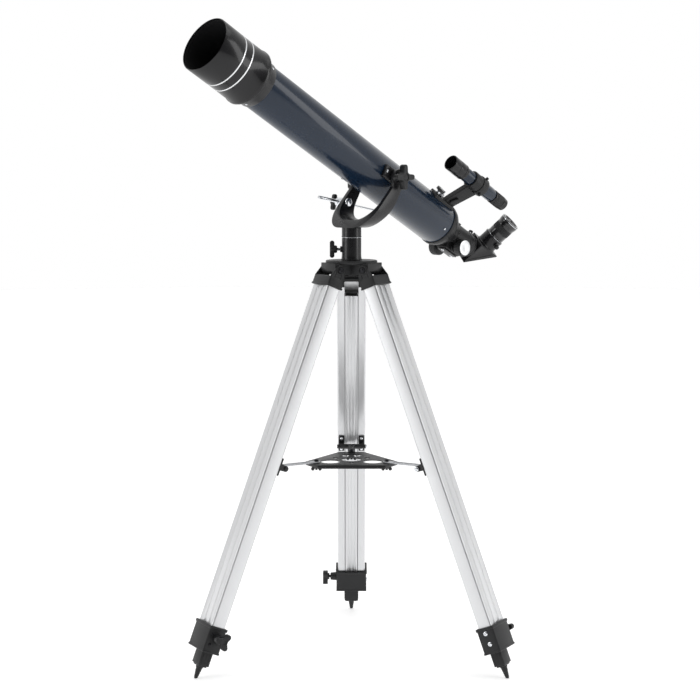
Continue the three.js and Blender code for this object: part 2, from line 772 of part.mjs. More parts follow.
const telescope = new THREE.Group();
tripodHead(telescope);
azimuthColumn(telescope);
azimuthLockKnob(telescope);
for (const [side, turn] of Object.entries(legTurns)) {
  tripodLeg(side, turn, telescope);
  wingNut(side, telescope);
}
accessoryTray(telescope);

const mount = new THREE.Group();
mount.rotation.z = heading;
telescope.add(mount);
yokeFork(mount);

const altitudeAxis = new THREE.Group();
altitudeAxis.position.set(altitudeX, 0, altitudeHeight);
mount.add(altitudeAxis);
altitudeKnob('altitude_knob_right', 1, altitudeAxis);
altitudeKnob('altitude_knob_left', -1, altitudeAxis);
rodSwivel(altitudeAxis);
rodClampKnob(altitudeAxis);
altitudeRod(altitudeAxis);

const optics = new THREE.Group();
optics.rotation.y = tilt;
altitudeAxis.add(optics);
mainTube(optics);
dewShield(optics);
objectiveCell(optics);
objectiveLens(optics);
pivotPlate('pivot_plate_right', 1, optics);
pivotPlate('pivot_plate_left', -1, optics);
rodBracket(optics);
focuserBody(optics);
drawtube(optics);
focusShaft(optics);
pinionCover(optics);
diagonalGroup(optics);
finderGroup(optics);

// The origin is the middle of the telescope's footprint, on the ground.
telescope.updateMatrixWorld(true);
const size = new THREE.Box3().setFromObject(telescope, true);
telescope.position.set(-(size.min.x + size.max.x) / 2, -(size.min.y + size.max.y) / 2, -size.min.z);

export default telescope;
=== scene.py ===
# A 70 mm refracting telescope on a yoke mount and a folding aluminium tripod, dressed around
# its CAD model. Shapes are drawn in millimetres, in the frame of the joint that they turn or
# slide with, and put in place in metres.

import json
import math
import bpy
from mathutils import Matrix, Vector


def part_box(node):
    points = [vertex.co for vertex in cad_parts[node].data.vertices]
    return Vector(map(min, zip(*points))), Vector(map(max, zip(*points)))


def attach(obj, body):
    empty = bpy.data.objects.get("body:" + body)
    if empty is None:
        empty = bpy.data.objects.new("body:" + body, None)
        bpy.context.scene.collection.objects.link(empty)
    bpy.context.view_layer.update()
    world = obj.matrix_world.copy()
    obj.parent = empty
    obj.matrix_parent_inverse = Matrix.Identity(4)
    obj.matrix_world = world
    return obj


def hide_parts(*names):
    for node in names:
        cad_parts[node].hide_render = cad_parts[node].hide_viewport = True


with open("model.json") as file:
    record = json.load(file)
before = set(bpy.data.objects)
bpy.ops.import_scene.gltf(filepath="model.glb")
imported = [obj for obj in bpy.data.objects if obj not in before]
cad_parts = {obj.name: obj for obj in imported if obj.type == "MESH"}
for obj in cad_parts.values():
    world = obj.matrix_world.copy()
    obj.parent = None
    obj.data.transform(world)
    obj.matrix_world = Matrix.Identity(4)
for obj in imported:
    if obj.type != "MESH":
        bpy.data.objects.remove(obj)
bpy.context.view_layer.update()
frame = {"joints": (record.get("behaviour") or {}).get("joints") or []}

# Tripod head ---------------------------------------------------------------------------------
# A round casting of charcoal glass-filled nylon. Three lugs under its rim carry the legs' hinge
# bolts, and the column stands on its flat top. Its lugs are cored out to keep their walls even.

joints = {joint["name"]: joint for joint in frame["joints"]}
sides = ("left", "right", "back")
mm = 0.001


def place_of(origin, x, z):
    """The place of a shape drawn in millimetres, from its origin and its X and Z directions."""
    x = Vector(x).normalized()
    y = Vector(z).cross(x).normalized()
    turn = Matrix((x, y, x.cross(y))).transposed().to_4x4()
    return Matrix.Translation(Vector(origin)) @ turn @ Matrix.Scale(mm, 4)


def clear():
    bpy.ops.object.select_all(action="DESELECT")


def pick(shape):
    clear()
    bpy.context.view_layer.objects.active = shape
    shape.select_set(True)


def rounded(shape, width, segments=2, limit=32):
    """Rounds a shape's sharp edges and smooths what is left."""
    pick(shape)
    if width:
        bevel = shape.modifiers.new("edges", "BEVEL")
        bevel.width = width
        bevel.segments = segments
        bevel.limit_method = "ANGLE"
        bevel.angle_limit = math.radians(limit)
        bpy.ops.object.modifier_apply(modifier=bevel.name)
    bpy.ops.object.shade_smooth_by_angle(angle=math.radians(40))
    return shape


def closed(width=0, segments=2):
    """Leaves edit mode with doubles merged and faces turned outwards, and rounds the edges."""
    bpy.ops.mesh.select_all(action="SELECT")
    bpy.ops.mesh.remove_doubles(threshold=0.001)
    bpy.ops.mesh.normals_make_consistent(inside=False)
    bpy.ops.object.mode_set(mode="OBJECT")
    return rounded(bpy.context.object, width, segments)


def turned(profile, width=0, count=64, segments=2):
    """A shape turned about Z from (radius, height) points. A profile that comes back to its
    start is a ring, and any other is closed at the axis."""
    clear()
    pole = 0.02
    points = [(max(radius, pole), height) for radius, height in profile]
    radius, height = points[0]
    bpy.ops.mesh.primitive_circle_add(vertices=count, radius=radius, location=(0, 0, height))
    bpy.ops.object.transform_apply()
    bpy.ops.object.mode_set(mode="EDIT")
    bpy.ops.mesh.select_all(action="SELECT")
    solid = profile[0] != profile[-1]
    if solid:
        bpy.ops.mesh.edge_face_add()
    for wider, higher in points[1:]:
        bpy.ops.mesh.extrude_edges_move(TRANSFORM_OT_translate={"value": (0, 0, higher - height)})
        step = wider / radius
        bpy.ops.transform.resize(value=(step, step, 1), center_override=(0, 0, 0))
        radius, height = wider, higher
    if solid:
        bpy.ops.mesh.edge_face_add()
    return closed(width, segments)


def slab(outline, low, high, width=0, segments=2):
    """A flat shape: a disc's corners are drawn out to the outline and its face is pushed up."""
    clear()
    bpy.ops.mesh.primitive_circle_add(vertices=len(outline), fill_type="NGON")
    for vertex, (x, y) in zip(bpy.context.object.data.vertices, outline):
        vertex.co = (x, y, low)
    bpy.ops.object.mode_set(mode="EDIT")
    bpy.ops.mesh.select_all(action="SELECT")
    bpy.ops.mesh.extrude_region_move(TRANSFORM_OT_translate={"value": (0, 0, high - low)})
    return closed(width, segments)


def block(x, y, z, width=0, segments=2):
    """A box between pairs of faces, with rounded edges."""
    clear()
    spans = [Vector(span) for span in (x, y, z)]
    bpy.ops.mesh.primitive_cube_add(
        size=1,
        location=[(low + high) / 2 for low, high in spans],
        scale=[high - low for low, high in spans],
    )
    bpy.ops.object.transform_apply()
    return rounded(bpy.context.object, width, segments)


def arc(x, y, radius, start, end, steps):
    """Points along an arc, its angles in degrees."""
    turns = [math.radians(start + (end - start) * i / steps) for i in range(steps + 1)]
    return [(x + radius * math.cos(turn), y + radius * math.sin(turn)) for turn in turns]


def moved(shape, *changes):
    for change in changes:
        shape.data.transform(change)
    return shape


def shift(x, y, z):
    return Matrix.Translation((x, y, z))


def spin(angle, axis):
    return Matrix.Rotation(math.radians(angle), 4, axis)


def copied(shape, name):
    other = shape.copy()
    other.data = shape.data.copy()
    other.name = name
    bpy.context.scene.collection.objects.link(other)
    return other


def joined(*shapes):
    pick(shapes[0])
    for shape in shapes[1:]:
        shape.select_set(True)
    bpy.ops.object.join()
    return bpy.context.object


def carved(shape, operation, tools):
    for tool in tools:
        pick(shape)
        carve = shape.modifiers.new("carve", "BOOLEAN")
        carve.operation = operation
        carve.solver = "EXACT"
        carve.object = tool
        bpy.ops.object.modifier_apply(modifier=carve.name)
        bpy.data.objects.remove(tool)
    return shape


def cut(shape, *tools):
    return carved(shape, "DIFFERENCE", tools)


def fused(shape, *others):
    return carved(shape, "UNION", others)


class Wire:
    """A value or vector inside a material. Arithmetic on it adds Math nodes."""

    def __init__(self, socket):
        self.socket = socket

    def math(self, operation, *others):
        tree = self.socket.id_data
        node = tree.nodes.new("ShaderNodeMath")
        node.operation = operation
        for entry, value in zip(node.inputs, others):
            connect(value, entry)
        return Wire(node.outputs[0])

    def __add__(self, other):
        return self.math("ADD", self, other)

    def __sub__(self, other):
        return self.math("SUBTRACT", self, other)

    def __rsub__(self, other):
        return self.math("SUBTRACT", other, self)

    def __mul__(self, other):
        return self.math("MULTIPLY", self, other)

    def __gt__(self, other):
        return self.math("GREATER_THAN", self, other)

    __radd__ = __add__
    __rmul__ = __mul__


def connect(value, entry):
    if isinstance(value, Wire):
        entry.id_data.links.new(value.socket, entry)
    else:
        entry.default_value = value


class Finish:
    """A material as it is mixed, around one Principled shader."""

    def __init__(self, name, **constants):
        self.material = bpy.data.materials.new(name)
        self.material.use_nodes = True
        self.tree = self.material.node_tree
        self.shader = self.tree.nodes["Principled BSDF"]
        for entry, value in constants.items():
            self.shader.inputs[entry.replace("_", " ")].default_value = value
        self.place = self.node("TexCoord", output="Object")

    def node(self, kind, settings=None, inputs=None, output=0):
        node = self.tree.nodes.new("ShaderNode" + kind)
        for setting, value in (settings or {}).items():
            if setting == "stops":
                while len(node.color_ramp.elements) < len(value):
                    node.color_ramp.elements.new(0.5)
                for stop, (position, colour) in zip(node.color_ramp.elements, value):
                    stop.position = position
                    stop.color = (*colour, 1)
            else:
                setattr(node, setting, value)
        for entry, value in (inputs or {}).items():
            connect(value, node.inputs[entry])
        return Wire(node.outputs[output])

    def noise(self, scale, detail=2, place=None):
        inputs = {"Vector": place or self.place, "Scale": scale, "Detail": detail}
        return self.node("TexNoise", inputs=inputs)

    def within(self, place, stretch=(1, 1, 1)):
        """Coordinates in the frame of a piece, so that a pattern can run along it."""
        where, turn, _ = place.decompose()
        inputs = {"Vector": self.place, "Location": where, "Rotation": turn.to_euler()}
        local = self.node("Mapping", {"vector_type": "TEXTURE"}, inputs)
        return self.node("VectorMath", {"operation": "MULTIPLY"}, {0: local, 1: stretch})

    def colour(self, one, other, amount):
        mix = {0: amount, 6: (*one, 1), 7: (*other, 1)}
        return self.node("Mix", {"data_type": "RGBA"}, mix, output=2)

    def bump(self, height, distance, strength=1):
        inputs = {"Height": height, "Distance": distance, "Strength": strength}
        self.set("Normal", self.node("Bump", inputs=inputs))

    def set(self, entry, value):
        connect(value, self.shader.inputs[entry])


def moulded_plastic(name, tone, roughness=0.42):
    """Glass-filled nylon: a fine spark-eroded grain, and faint clouds where it flowed."""
    finish = Finish(name, Specular_IOR_Level=0.3)
    cloud = finish.noise(45, 4)
    grain = finish.noise(2400, 3)
    paler = [channel * 1.5 for channel in tone]
    finish.set("Base Color", finish.colour(tone, paler, cloud * 0.7 + grain * 0.3))
    finish.set("Roughness", cloud * 0.14 + grain * 0.1 + (roughness - 0.12))
    finish.bump(grain * 0.8 + cloud * 0.2, 0.00012, 0.45)
    return finish.material


def put(shape, name, place, body, slot, finish, *nodes):
    """Puts a finished shape in its place and fixes it to its body."""
    shape.name = name
    shape.data.name = name
    shape.data.transform(place)
    shape.data.materials.clear()
    shape.data.materials.append(finish)
    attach(shape, body)
    if nodes:
        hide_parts(*nodes)
    return shape


charcoal = moulded_plastic("charcoal_plastic", (0.0125, 0.0128, 0.0135))
azimuth_at = Vector(joints["azimuth"]["pos_m"])
tripod_place = place_of((azimuth_at.x, azimuth_at.y, 0), (1, 0, 0), (0, 0, 1))
head_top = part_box("tripod_head")[1].z / mm
hinge_at = Vector(joints["leg_fold_back"]["pos_m"]) - azimuth_at
hinge_radius = hinge_at.xy.length / mm
hinge_height = joints["leg_fold_back"]["pos_m"][2] / mm
leg_turns = {"left": 210, "right": 330, "back": 90}
lug_radius = 8.5
lug_half_width = 24

head = turned(
    [
        (0, head_top - 5.8), (41.5, head_top - 5.8), (42.9, head_top - 4.6), (43.5, head_top - 1.6),
        (42.2, head_top - 0.2), (40.2, head_top), (39.4, head_top - 0.5), (30, head_top - 0.5),
        (29.2, head_top), (0, head_top),
    ],
    width=0.35, count=96,
)
hub = turned([(0, hinge_height - 11), (22, hinge_height - 11), (22, head_top - 2), (0, head_top - 2)], 0.6)
lug_outline = [(6, hinge_height - lug_radius)]
lug_outline += arc(hinge_radius, hinge_height, lug_radius, -90, 0, 10)
lug_outline += [(hinge_radius + lug_radius, head_top - 4), (6, head_top - 4)]
lugs = []
for turn in leg_turns.values():
    lug = moved(slab(lug_outline, -lug_half_width, lug_half_width, 0.7), spin(90, "X"))
    core_low = hinge_height - lug_radius - 1
    cores = []
    for across in (-1, 1):
        span = sorted((across * 6, across * 20))
        cores.append(block((22.5, 29.5), span, (core_low, head_top - 9), 0.8))
    lugs.append(moved(cut(lug, *cores), spin(turn, "Z")))
head = fused(head, hub, *lugs)
rounded(head, 0)
put(head, "head_casting", tripod_place, "head", "black_plastic", charcoal, "tripod_head")

# Leg hinges ----------------------------------------------------------------------------------
# Each leg hangs on one blackened M6 bolt through its cap's ears and the head's lug. The bolt has a
# pan head with a cross recess at one end and a domed cap nut at the other.


def plated_steel(name, tone, roughness, scratches=0.06):
    """Bright plated steel with fine random handling marks."""
    finish = Finish(name, Metallic=1.0)
    cloud = finish.noise(70, 3)
    marks = finish.noise(1500, 2, finish.node(
        "VectorMath", {"operation": "MULTIPLY"}, {0: finish.place, 1: (1, 0.08, 1)}))
    darker = [channel * 0.82 for channel in tone]
    finish.set("Base Color", finish.colour(tone, darker, cloud))
    finish.set("Roughness", marks * scratches * 2 + cloud * scratches + roughness)
    finish.bump(marks, 0.00002, 0.3)
    return finish.material


def screw_head(radius, height, count=32, recess=0.55):
    """A pan head on Z = 0 with a cross recess."""
    shape = turned(
        [(0, 0), (radius, 0), (radius, height * 0.45), (radius * 0.86, height * 0.8),
         (radius * 0.5, height),
         (0, height * 1.04)],
        count=count,
    )
    reach = radius * recess
    slot_half = radius * 0.13
    cross = [
        block((-reach, reach), (-slot_half, slot_half), (height * 0.55, height * 2)),
        block((-slot_half, slot_half), (-reach, reach), (height * 0.55, height * 2)),
    ]
    return rounded(cut(shape, *cross), 0)


def lying_y(shape, y=0, facing=1):
    """Turns a shape made about Z to lie about Y, facing outwards on either side."""
    return moved(shape, spin(-90 * facing, "X"), shift(0, y, 0))


def lying_x(shape, x=0):
    return moved(shape, spin(90, "Y"), shift(x, 0, 0))


leg_places = {}
for side in sides:
    fold = joints[f"leg_fold_{side}"]
    down = Vector(joints[f"leg_extend_{side}"]["axis"])
    tangent = Vector(fold["axis"])
    leg_places[side] = place_of(fold["pos_m"], tangent.cross(-down), -down)


def on_each_leg(shape, name, body, slot, finish, replaced=True):
    """Puts one copy of a shape on each leg. The finish is one material, or one for each leg."""
    for side, place in leg_places.items():
        own = finish[side] if isinstance(finish, dict) else finish
        nodes = [f"{name}_{side}"] if replaced else []
        piece = copied(shape, name)
        put(piece, f"{name}_piece_{side}", place, body.format(side=side), slot, own, *nodes)
    bpy.data.objects.remove(shape)


chrome = plated_steel("chrome_plate", (0.82, 0.84, 0.87), 0.09)
ear_outside = 27.4
bolt_reach = 30.6
bolt = fused(
    lying_y(turned([(0, -ear_outside - 0.6), (3, -ear_outside - 0.6), (3, ear_outside + 0.6),
                    (0, ear_outside + 0.6)], count=24)),
    lying_y(screw_head(5.2, bolt_reach - ear_outside), ear_outside + 0.2),
    lying_y(turned([(0, 0), (5, 0), (5, 0.9), (4.6, 1.1), (4.4, 2.2), (3.2, 3), (0, 3.3)], 0.15, 24),
            -ear_outside - 0.2, -1),
)
blackened = plated_steel("blackened_steel", (0.035, 0.035, 0.038), 0.32)
on_each_leg(rounded(bolt, 0), "leg_hinge_bolt", "head", "satin_black", blackened)

# Leg caps ------------------------------------------------------------------------------------
# A moulded cap is pressed over the top of each leg. Two ribbed ears, each with a round boss for
# the bolt, stand either side of the head's lug, and the space between them stays open.

cap_bottom = -30.5
cap_shoulder = -13.5
leg_top = -17.3
leg_half_depth = 12.5
leg_half_width = 25
slot_half_width = 12
ear_outline = [(-14, cap_shoulder - 2), (14.5, cap_shoulder - 2)]
ear_outline += arc(0, 0, lug_radius, 12, 168, 14)
ears = []
for across in (-1, 1):
    inner, outer = lug_half_width + 0.3, ear_outside
    ear = lying_y(slab(ear_outline, inner, outer - 0.5, 0.5), 0, across)
    if across > 0:
        ear = moved(ear, Matrix.Scale(-1, 4, (0, 0, 1)))
        ear.data.flip_normals()
    boss = lying_y(turned([(0, inner), (8.2, inner), (8.2, outer), (7.4, outer + 0.5), (6, outer + 0.5),
                           (6, outer), (0, outer)], 0.15, 40), 0, across)
    span = sorted((across * (outer - 1), across * outer))
    ribs = [moved(block((-0.7, 0.7), span, (-15, -5), 0.3), shift(x, 0, 0)) for x in (-5.5, 5.5)]
    ears.append(fused(ear, boss, *ribs))
collar = block((-14, 14.5), (-ear_outside, ear_outside), (cap_bottom, cap_shoulder), 2.4, 3)
brim = block((-14.4, 14.9), (-ear_outside - 0.4, ear_outside + 0.4),
             (cap_bottom - 0.2, cap_bottom + 3), 0.7)
socket = block((-12.8, 12.8), (-25.3, 25.3), (cap_bottom - 4, leg_top + 0.3))
doorway = block((-20, -5), (-slot_half_width, slot_half_width), (cap_bottom - 4, leg_top - 2.5), 1.2)
cap = cut(fused(collar, brim, *ears), socket, doorway)
on_each_leg(rounded(cap, 0), "leg_cap", "leg_{side}", "black_plastic", charcoal)

# Outer legs ----------------------------------------------------------------------------------
# Extruded aluminium channels, clear anodised, open down the inner side. Two shallow grooves run
# down the outer face, and the die leaves fine lines along every face.


def drawn_aluminium(name, tone, place):
    """Anodised aluminium with die lines along Z of the piece's own frame."""
    finish = Finish(name, Metallic=0.92)
    lines = finish.noise(1400, 3, finish.within(place, (1, 1, 0.003)))
    clouds = finish.noise(9, 3)
    darker = [channel * 0.95 for channel in tone]
    finish.set("Base Color", finish.colour(tone, darker, lines * 0.6 + clouds * 0.4))
    finish.set("Roughness", lines * 0.04 + clouds * 0.06 + 0.3)
    finish.bump(lines, 0.00001, 0.1)
    return finish.material


leg_end = -640
wall = 1.8
corner = 3
deep, wide = leg_half_depth, leg_half_width
groove = [(y + offset, depth) for y in (-8, 8) for offset,
          depth in ((-1, 0), (-0.6, 0.7), (0.6, 0.7), (1, 0))]
section = [(-deep, -slot_half_width)]
section += arc(-deep + corner, -wide + corner, corner, 180, 270, 5)
section += arc(deep - corner, -wide + corner, corner, 270, 360, 5)
section += [(deep - depth, y) for y, depth in groove]
section += arc(deep - corner, wide - corner, corner, 0, 90, 5)
section += arc(-deep + corner, wide - corner, corner, 90, 180, 5)
section += [(-deep, slot_half_width), (-deep + wall, slot_half_width)]
section += arc(-deep + corner, wide - corner, corner - wall, 180, 90, 3)
section += arc(deep - corner, wide - corner, corner - wall, 90, 0, 3)
section += arc(deep - corner, -wide + corner, corner - wall, 0, -90, 3)
section += arc(-deep + corner, -wide + corner, corner - wall, -90, -180, 3)
section += [(-deep + wall, -slot_half_width)]
channel = slab(section, leg_end, leg_top, 0.2, 1)
silver = (0.7, 0.705, 0.715)
leg_finish = {side: drawn_aluminium(f"leg_aluminium_{side}", silver, place) for side,
              place in leg_places.items()}
on_each_leg(channel, "outer_leg", "leg_{side}", "leg_aluminium", leg_finish)

# Inner legs ----------------------------------------------------------------------------------
# A smaller hollow section slides in each channel, with its ribbed face in the open side. It is
# the same anodised aluminium, and it is locked by the clamp at the channel's end.

inner_inside, inner_outside, inner_half = -11.8, 5.2, 11.3
inner_top, inner_end = -48, -672
ribs = [(y + offset, depth) for y in (6, 0, -6) for offset,
        depth in ((0.7, 0), (0.4, 0.5), (-0.4, 0.5), (-0.7, 0))]
section = arc(inner_inside + 1, -inner_half + 1, 1, 180, 270, 3)
section += arc(inner_outside - 1, -inner_half + 1, 1, 270, 360, 3)
section += arc(inner_outside - 1, inner_half - 1, 1, 0, 90, 3)
section += arc(inner_inside + 1, inner_half - 1, 1, 90, 180, 3)
section += [(inner_inside + depth, y) for y, depth in ribs]
bar = slab(section, inner_end, inner_top, 0.2, 1)
hollow = block((inner_inside + 1.5, inner_outside - 1.5), (-inner_half + 1.5, inner_half - 1.5),
               (inner_end - 5, inner_top + 5))
on_each_leg(rounded(cut(bar, hollow), 0), "inner_leg", "inner_leg_{side}", "leg_aluminium", leg_finish)

# Feet ----------------------------------------------------------------------------------------
# A moulded sleeve is pressed on each inner leg. It ends in a stepped round point, worn a little
# flat where it stands.

clamp_end = -660
foot_end = -686
foot_middle = (inner_inside + inner_outside) / 2
tip_end = -709.2
sleeve = block((inner_inside - 1.4, inner_outside + 1.4), (-12.7, 12.7),
               (foot_end + 2, clamp_end - 0.3), 1.2, 3)
toe = block((inner_inside + 0.6, inner_outside - 0.6), (-10.6, 10.6), (foot_end - 0.6, foot_end + 4),
            1.8, 3)
point = turned(
    [(0, foot_end + 2), (6.4, foot_end + 2), (6, foot_end - 3), (5.1, foot_end - 4.2), (4.8, foot_end - 9),
     (4.4, foot_end - 10), (3.3, tip_end + 4), (2.3, tip_end + 1.4), (1.6, tip_end + 0.3), (0, tip_end)],
    0.2, 40,
)
fins = []
for across in (-1, 1):
    for x in (-6, 0, 6):
        span = sorted((across * 12.2, across * 13.1))
        fins.append(block((foot_middle + x - 0.6, foot_middle + x + 0.6), span,
                          (foot_end + 5, clamp_end - 4), 0.25))
boot = fused(sleeve, toe, moved(point, shift(foot_middle, 0, 0)), *fins)
well = block((inner_inside - 0.3, inner_outside + 0.3), (-11.6, 11.6), (inner_end - 0.3, clamp_end + 5))
boot = cut(boot, well)
to_leg = leg_places["back"].inverted()
ground = to_leg @ Vector((azimuth_at.x, azimuth_at.y, 0.00005))
downward = (to_leg.to_3x3() @ Vector((0, 0, -1))).normalized()
pick(boot)
bpy.ops.object.mode_set(mode="EDIT")
bpy.ops.mesh.select_all(action="SELECT")
bpy.ops.mesh.bisect(plane_co=ground, plane_no=downward, use_fill=True, clear_outer=True)
bpy.ops.object.mode_set(mode="OBJECT")
on_each_leg(rounded(boot, 0), "foot", "inner_leg_{side}", "black_plastic", charcoal)

# Leg clamps ----------------------------------------------------------------------------------
# A moulded block is bolted over the end of each channel. Its lip is flared, a boss on one side
# takes the locking screw, and two plated screws a side hold it to the leg.

clamp_top = -618
screw_down, screw_in = -634, -3.3
box_shape = block((-15.3, 15.3), (-27.6, 27.6), (clamp_end, clamp_top), 2.2, 3)
lip = block((-16.2, 16.2), (-28.8, 28.8), (clamp_top - 3, clamp_top + 2), 1.2, 3)
foot_rim = block((-15.8, 15.8), (-28.1, 28.1), (clamp_end, clamp_end + 3.5), 1.1, 3)
boss = lying_y(turned([(0, 25), (8.4, 25), (7.6, 30), (6.8, 39), (0, 39)], 0.5, 40))
grip = fused(box_shape, lip, foot_rim, moved(boss, shift(screw_in, 0, screw_down)))
grip = cut(
    grip,
    block((-12.8, 12.8), (-25.3, 25.3), (leg_end - 0.3, clamp_top + 10)),
    block((inner_inside - 0.5, inner_outside + 0.5), (-11.8, 11.8), (clamp_end - 5, clamp_top)),
    block((-20, -5), (-slot_half_width, slot_half_width), (clamp_top - 0.1, clamp_top + 5), 0.4),
)
on_each_leg(rounded(grip, 0), "leg_clamp", "leg_{side}", "black_plastic", charcoal)
for name, across, radius, spots, slot, finish in (
    ("plated", -1, 3.8, ((-0.4, clamp_top - 8), (1.2, clamp_end + 16)), "chrome", chrome),
    ("black", 1, 2.6, ((8.5, clamp_top - 10), (7, clamp_end + 14)), "satin_black", blackened),
):
    heads = []
    for x, z in spots:
        heads.append(moved(lying_y(screw_head(radius, 1.8), across * 27.5, across), shift(x, 0, z)))
    on_each_leg(joined(*heads), f"clamp_screws_{name}", "leg_{side}", slot, finish, replaced=False)

# Clamp knobs ---------------------------------------------------------------------------------
# Three-lobed knobs of the same plastic, moulded on a plated stem, press a pad on the inner leg.


def lobed_outline(lobes, hub, reach, tip):
    """Round lobes of radius tip that stand out to reach from a round hub."""
    points = []
    spread = 360 / lobes
    for i in range(lobes):
        middle = i * spread
        away = reach - tip
        x, y = away * math.cos(math.radians(middle)), away * math.sin(math.radians(middle))
        points += arc(x, y, tip, middle - 80, middle + 80, 8)
        points += arc(0, 0, hub, middle + spread / 2 - 12, middle + spread / 2 + 12, 3)
    return points


grip_head = slab(lobed_outline(3, 6.6, 15, 4.6), 44, 53, 1.3, 3)
dimple = turned([(0, 51.8), (4.6, 51.8), (4.6, 54), (0, 54)], 0.2, 32)
neck = turned([(0, 41), (5.6, 41), (6.4, 45), (0, 45)], 0.4, 32)
knob = moved(lying_y(fused(cut(grip_head, dimple), neck)), shift(screw_in, 0, screw_down))
on_each_leg(rounded(knob, 0), "clamp_knob", "clamp_knob_{side}", "black_plastic", charcoal)
threads = [(0, 26)]
for i in range(15):
    threads += [(2.8, 26 + i), (2.45, 26.5 + i)]
threads += [(2.8, 41), (0, 42)]
stem = moved(lying_y(turned(threads, count=24)), shift(screw_in, 0, screw_down))
on_each_leg(stem, "clamp_knob_stem", "clamp_knob_{side}", "chrome", chrome, replaced=False)

# Leg brackets --------------------------------------------------------------------------------
# A pressed steel bracket, painted black, is riveted across each channel's open side. Its two
# ears carry the pin that the spreader arm turns on.


def satin_paint(name, tone, roughness=0.34, specks=0.5):
    """Baked black enamel with a faint orange-peel surface."""
    finish = Finish(name, Specular_IOR_Level=0.42)
    cloud = finish.noise(30, 3)
    peel = finish.noise(520, 2)
    dust = finish.noise(5200, 1)
    paler = [channel * 1.45 for channel in tone]
    finish.set("Base Color", finish.colour(tone, paler, cloud * (1 - specks * 0.5) + dust * specks * 0.5))
    finish.set("Roughness", cloud * 0.12 + peel * 0.06 + (roughness - 0.08))
    finish.bump(peel * 0.7 + dust * 0.3, 0.00008, 0.35)
    return finish.material


bracket_in, bracket_down = 25, -338.5
enamel = satin_paint("black_enamel", (0.008, 0.008, 0.009), 0.28)
pin_place = shift(-bracket_in, 0, bracket_down)
back_face = bracket_in - leg_half_depth - 0.3
ear_profile = [(back_face, -6), (back_face, 6)] + arc(0, 0, 5, 80, 280, 14)
bracket_parts = []
rivets = []
for across in (-1, 1):
    strap = block((back_face - 3.2, back_face), sorted((across * 12.8, across * 23)), (-15, 15), 0.9, 3)
    ear = moved(slab(ear_profile, -1.1, 1.1, 0.35), spin(90, "X"), shift(0, across * 21.9, 0))
    boss = lying_y(turned([(0, 22), (4.4, 22), (4.4, 23.2), (3.6, 23.6), (3.6, 25), (3, 25.5),
                           (0, 25.5)], 0.15, 32),
                   0, across)
    bracket_parts.append(fused(strap, ear, boss))
    for z in (-11, 11):
        rivet = turned([(0, -1), (2.5, -1), (2.5, 0), (2.1, 0.9), (1.2, 1.4), (0, 1.6)], count=24)
        rivets.append(moved(rivet, spin(-90, "Y"), shift(back_face - 3.2, across * 18, z)))
pin = moved(turned([(0, -23), (2.2, -23), (2.2, 23), (0, 23)], count=24), spin(90, "X"))
bracket = moved(joined(*bracket_parts, pin), pin_place)
on_each_leg(rounded(bracket, 0), "leg_bracket", "leg_{side}", "satin_black", enamel)
rivets.append(lying_y(screw_head(4, 2.2), -25.3, -1))
on_each_leg(moved(joined(*rivets), pin_place), "bracket_rivets", "leg_{side}", "chrome", chrome,
            replaced=False)

# Spreader arms -------------------------------------------------------------------------------
# Flat plated steel strips with a stiffening groove pressed along them. Each ends in a sleeve
# that turns on its leg's pin, and its other end bolts under or over the tray's corner.


def dull_plate(name, tone):
    """Zinc-plated strip steel, rolled lengthwise, with a dull spangle."""
    finish = Finish(name, Metallic=0.95)
    spangle = finish.node("TexVoronoi", inputs={"Vector": finish.place, "Scale": 320})
    rolled = finish.noise(380, 3)
    darker = [channel * 0.7 for channel in tone]
    finish.set("Base Color", finish.colour(tone, darker, spangle * 0.5 + rolled * 0.5))
    finish.set("Roughness", rolled * 0.22 + spangle * 0.08 + 0.24)
    finish.bump(rolled, 0.00003, 0.4)
    return finish.material


zinc = dull_plate("zinc_plate", (0.5, 0.51, 0.53))
arm_length = 76
arm_low, arm_high = 0.9, 3.3
tray_bolt_at = 68
pin_radius_at = (Vector(joints["tray_fold"]["pos_m"]) - azimuth_at).xy.length / mm
bolt_from_pin = pin_radius_at - tray_bolt_at
leg_tilt = math.degrees(math.acos(-Vector(joints["leg_extend_back"]["axis"]).z))
strip_outline = arc(-arm_length + 6.5, 0, 6.5, 90, 270, 12) + [(-1, -6.5), (-1, 6.5)]
strip = slab(strip_outline, arm_low, arm_high, 0.4)
groove_tool = slab(arc(-56, 0, 2, 90, 270, 6) + arc(-12, 0, 2, -90, 90, 6), arm_high - 0.7, arm_high + 1)
hole_tool = moved(turned([(0, -5), (2.6, -5), (2.6, 8), (0, 8)], count=24), shift(-bolt_from_pin, 0, 0))
sleeve = moved(turned([(2.5, -19.5), (4.4, -19.5), (4.4, 19.5), (2.5, 19.5), (2.5, -19.5)], 0.3, 32),
               spin(90, "X"))
arm = cut(fused(strip, sleeve), groove_tool, hole_tool)
arm = moved(rounded(arm, 0), spin(leg_tilt, "Y"), pin_place)
for side, place in leg_places.items():
    body = "tray" if side == "back" else f"arm_{side}"
    slot, finish = ("satin_black", enamel) if side == "back" else ("grey_steel", zinc)
    put(copied(arm, "arm"), f"spreader_arm_piece_{side}", place, body, slot, finish, f"spreader_arm_{side}")
bpy.data.objects.remove(arm)

# Accessory tray ------------------------------------------------------------------------------
# One moulding with six sides. A border hangs from its edge, three large holes take eyepieces,
# and a pair of ribs stiffens each corner underneath.

tray_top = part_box("accessory_tray")[1].z / mm
tray_plate, tray_deep = 2.4, 6
tray_corner, corner_half = 77, 22


